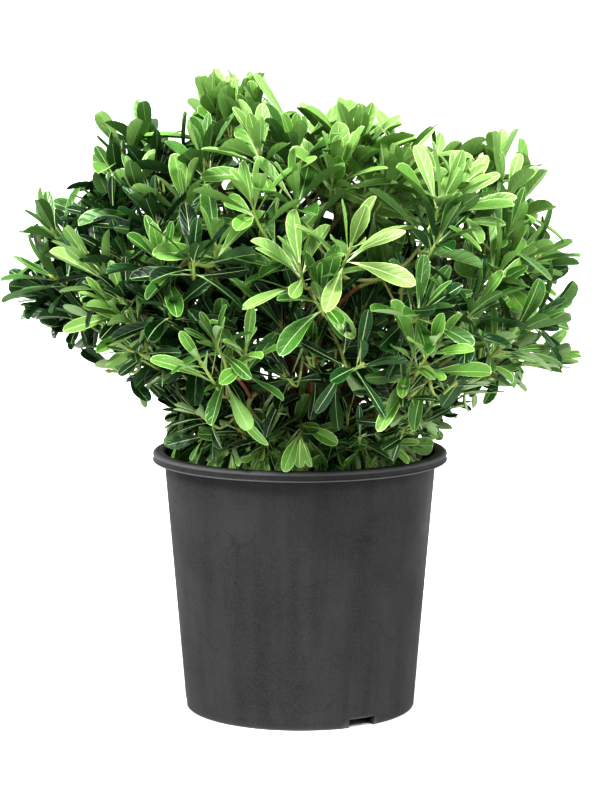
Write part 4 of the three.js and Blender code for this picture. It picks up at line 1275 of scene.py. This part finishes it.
def sprayLeaves(twig, leaves):
    spray, points = twig["spray"], twig["points"]
    kind, length = spray["kind"], stepsOf(points).sum()
    tone = sprayTone(spray)
    lightest = len(tones) - (1 if kind == "feature" else 2)
    skirt = min(habit["skirtMost"], max(0, (spray["tilt"] - habit["skirtTilt"]) / habit["skirtSpan"]))
    sidelong = min(1, spray["tilt"] / habit["sidelongTilt"])  # the top ones hold their leaves upright
    vigour = dice.uniform(*habit["vigour"]) * habit["kindVigour"].get(kind, 1)
    growth = habit["topGrowth"]
    larger = 1 + growth - growth * min(1, spray["tilt"] / habit["topTilt"])
    vigour *= (1 - habit["skirtShrink"] * skirt) * larger
    broad = 1 - habit["skirtNarrow"] * skirt  # the skirt has smaller leaves, further apart
    if kind == "low":
        vigour *= dice.uniform(*habit["lowVigour"])
        broad = habit["lowBroad"]
    crowd = dice.randint(*habit["perSpray"])
    crowd -= round(habit["lowThinner" if kind == "low" else "skirtThinner"] * skirt)
    below = dice.randint(*habit["below"]) if spray.get("tone", 0) < 5 else 0
    usualSpare = dice.uniform(*foliage["tipSpare"])
    spare = {"feature": foliage["featureSpare"], "low": foliage["lowSpare"]}.get(kind, usualSpare)
    room = crown["featureRoom" if kind == "feature" else "tipRoom"]
    stretch = spray.get("stretch", 1)
    firstLean = habit["topLean"] + (habit["firstLean"] - habit["topLean"]) * sidelong
    firstLean *= 1 if stretch < habit["wideStretch"] else habit["closedLean"]
    droop = habit["skirtDroop"] * skirt
    if kind == "low":
        droop = habit["droop"] * dice.uniform(*habit["lowDroop"])
    start = dice.uniform(0, 360)
    up = np.array([0, 0, 1.0])
    for n in range(-below, crowd):
        share = max(0, n) / (crowd - 1)
        back = habit["rosette"] * stretch * (1 - share)
        if n < 0:
            back = habit["rosette"] * stretch + habit["belowStep"] * -n + spread(habit["belowJitter"])
        if back > length * habit["leafyShare"]:
            continue
        place = 1 - back / length
        root = atShare(points, place)
        ahead = unit(atShare(points, min(1, place + 0.02)) - atShare(points, max(0, place - 0.02)))
        side = unit(np.cross(ahead, [0.31, 0.17, 0.93]))
        size = (1 - habit["youngShrink"] * share ** 2) * vigour * dice.uniform(*leaf["sizes"])
        size *= habit["belowSize"] if n < 0 else 1
        younger = shade["younger"] * share ** 2 - shade["older"] * (n < 0)
        for attempt in range(leaf["tries"]):  # each try strays further and is a little smaller
            jitters = (habit["turnJitter"], habit["leanJitter"])
            turnSpread, leanSpread = (least + more * attempt for least, more in jitters)
            outward = turnedAbout(ahead, side, start + n * habit["turn"] + spread(turnSpread))
            lean = firstLean + (habit["lastLean"] - firstLean) * share ** 0.8
            lean = math.radians((habit["belowLean"] if n < 0 else lean) + spread(leanSpread))
            along = unit(ahead * math.cos(lean) + outward * math.sin(lean) - droop * up)
            face = unit(ahead - along * np.dot(ahead, along)) + habit["faceUp"] * (up - along * along[2])
            face = turnedAbout(unit(along), face, spread(habit["faceTurn"]))
            bend = dice.uniform(*leaf["bend"]) * (1 - 0.5 * share) * (0.5 + 0.5 * sidelong)
            width = leaf["width"] * size * dice.uniform(*leaf["widths"]) * broad
            ownTone = math.floor(tone + younger + spread(shade["jitter"]))
            pale = dice.random() < habit["palePerSkirt"] * skirt
            one = newLeaf(
                root, along, face, leaf["length"] * size * (1 - habit["tryShrink"] * attempt), width,
                min(lightest, max(0, ownTone)), bend, pale)
            one["slimness"] *= habit["lowSlimness"] if kind == "low" else 1
            if leafFits(one, spare, room):
                leaves.append(one)
                break


# Twigs: thin ones joined into one piece, brown low down, then olive, then green at the tips, with a bud
twiglet = {
    "tip": 1.45, "lowTip": 0.6, "thickening": 0.28, "sides": 7, "step": 7, "fewestRings": 5, "relief": 0.8,
    "green": 50, "olive": 130,  # how far from the tip these colours reach
    "bud": [(1.8, 1.35), (3.8, 1.5), (5.8, 1.0), (7.4, 0.2)],  # how far past the tip, and how thick
    "finishes": [
        ("brownTwig", (104, 72, 50), 0.8, 0.25, 0.9, 900),
        ("oliveTwig", (114, 118, 70), 0.65, 0.35, 0.6, 900),
        ("greenTwig", (138, 158, 84), 0.55, 0.4, 0.4, 900),
        ("leafBud", (146, 150, 84), 0.6, 0.35, 0.8, 900),
    ],
}


def twigSlot(row, lastRow, length):
    left = length * (1 - row / lastRow)
    if row >= lastRow:
        return 3
    return 2 if left < twiglet["green"] else 1 if left < twiglet["olive"] else 0


def twigMesh(twigs):
    parts, slots, ways = [], [], []
    for number, twig in enumerate(twigs):
        length = stepsOf(twig["points"]).sum()
        count = max(twiglet["fewestRings"], int(length / twiglet["step"]))
        centre = evenSteps(twig["points"], count)
        tip = twiglet["tip"] * (twiglet["lowTip"] if twig["spray"]["kind"] == "low" else 1)
        thick = tip * twig["carried"] ** twiglet["thickening"]
        radii = thick + (tip - thick) * np.linspace(0, 1, count)
        end, ahead = centre[-1], tipHeading(centre)
        for beyond, swelling in twiglet["bud"]:
            centre = np.vstack([centre, end + ahead * beyond])
            radii = np.append(radii, tip * swelling)
        ring, tube, way = barkTube(centre, radii, twiglet["sides"], number, twiglet["relief"])
        for index in range(len(tube)):
            row = index // twiglet["sides"]
            slots.append(twigSlot(row, count - 1, length))
        parts.append((ring, tube))
        ways.append(way)
    return (*joined(parts), slots, np.vstack(ways))


def growMass(mass):
    tip = mass["limb"]["points"][-1]
    twigs, leaves, bare = [], [], []
    growTwig(mass, tip + tipHeading(mass["limb"]["points"]) * foliage["rootReach"], mass["sprays"], twigs)
    twigs[0]["points"] = np.vstack([tip, twigs[0]["points"]])
    for spray in mass["low"]:  # low shoots arch out from the stem
        foot = atShare(limbs[0]["points"], dice.uniform(*foliage["lowFoot"]))
        foot = foot + mass["outward"] * stem["topRadius"] * foliage["lowOffAxis"]
        arch = np.array([0, 0, dice.uniform(*foliage["lowArch"])])
        course = bezier([foot, (foot + spray["point"]) / 2 + arch, spray["point"]], foliage["lowSteps"])
        twigs.append({"points": course, "carried": 1, "spray": spray})
    for twig in twigs:
        before = len(leaves)
        sprayLeaves(twig, leaves)
        if len(leaves) - before < foliage["fewest"] and twig["carried"] == 1:
            bare.append(id(twig))
            del leaves[before:]
    return [twig for twig in twigs if id(twig) not in bare], leaves


def makeFoliage():
    placeSprays()
    finishes, twigFinishes = plainFinishes(leafFinishes), plainFinishes(twiglet["finishes"])
    total = 0
    for mass in masses:
        twigs, leaves = growMass(mass)
        total += len(leaves)
        piece = newPiece(mass["name"].replace("foliage", "leaves"), *leafMesh(leaves))
        smoothPiece(piece, leaf["smoothAngle"])
        dress(piece, finishes, [mass["name"]])
        points, faces, slots, way = twigMesh(twigs)
        piece = newPiece(mass["name"].replace("foliage", "twigs"), points, faces, slots, way=way)
        smoothPiece(piece)
        dress(piece, twigFinishes, [mass["name"]])
    printStage(f"foliage, {total} leaves")


makeFoliage()


# Fallen leaves on the soil, curled and brown
fallen = {
    "count": 34, "fromWall": 24, "pastRing": 18, "fromStem": 24, "lengths": (18, 38), "slender": 0.34,
    "raised": 2.5, "pitch": 0.22, "lean": 0.5, "curl": 0.7,
    "finishes": [
        ("dryBrown", (134, 92, 60), 0.8, 0.25, 0.8, 700, True),
        ("dryTan", (172, 140, 98), 0.78, 0.25, 0.8, 700, True),
    ],
}


def makeDryLeaves():
    leaves = []
    edge = soilEdge - fallen["fromWall"]
    while len(leaves) < fallen["count"]:
        level, turn = edge * math.sqrt(dice.random()), dice.uniform(0, 2 * math.pi)
        x, y = level * math.cos(turn), level * math.sin(turn)
        heading = dice.uniform(0, 2 * math.pi)
        along = np.array([math.cos(heading), math.sin(heading), dice.uniform(0, fallen["pitch"])])
        length = dice.uniform(*fallen["lengths"])
        end = np.array([x, y]) + along[:2] * length
        if math.hypot(x, y) < fallen["fromStem"] or np.linalg.norm(end) > edge + fallen["pastRing"]:
            continue
        root = np.array([x, y, soilHeight(x, y) + fallen["raised"]])
        face = np.array([spread(fallen["lean"]), spread(fallen["lean"]), 1.0])
        width, curl = length * fallen["slender"], spread(fallen["curl"])
        leaves.append(newLeaf(root, along, face, length, width, 0, curl))
    points, faces, slots, uv = leafMesh(leaves)
    perLeaf = len(leafFaces()[0])
    slots = [n // perLeaf % 2 for n in range(len(faces))]  # brown and tan by turns
    piece = newPiece("dryLeaves", points, faces, slots, uv)
    smoothPiece(piece)
    dress(piece, plainFinishes(fallen["finishes"]))


makeDryLeaves()
printStage("dry leaves")

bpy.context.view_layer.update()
printStage("size written")
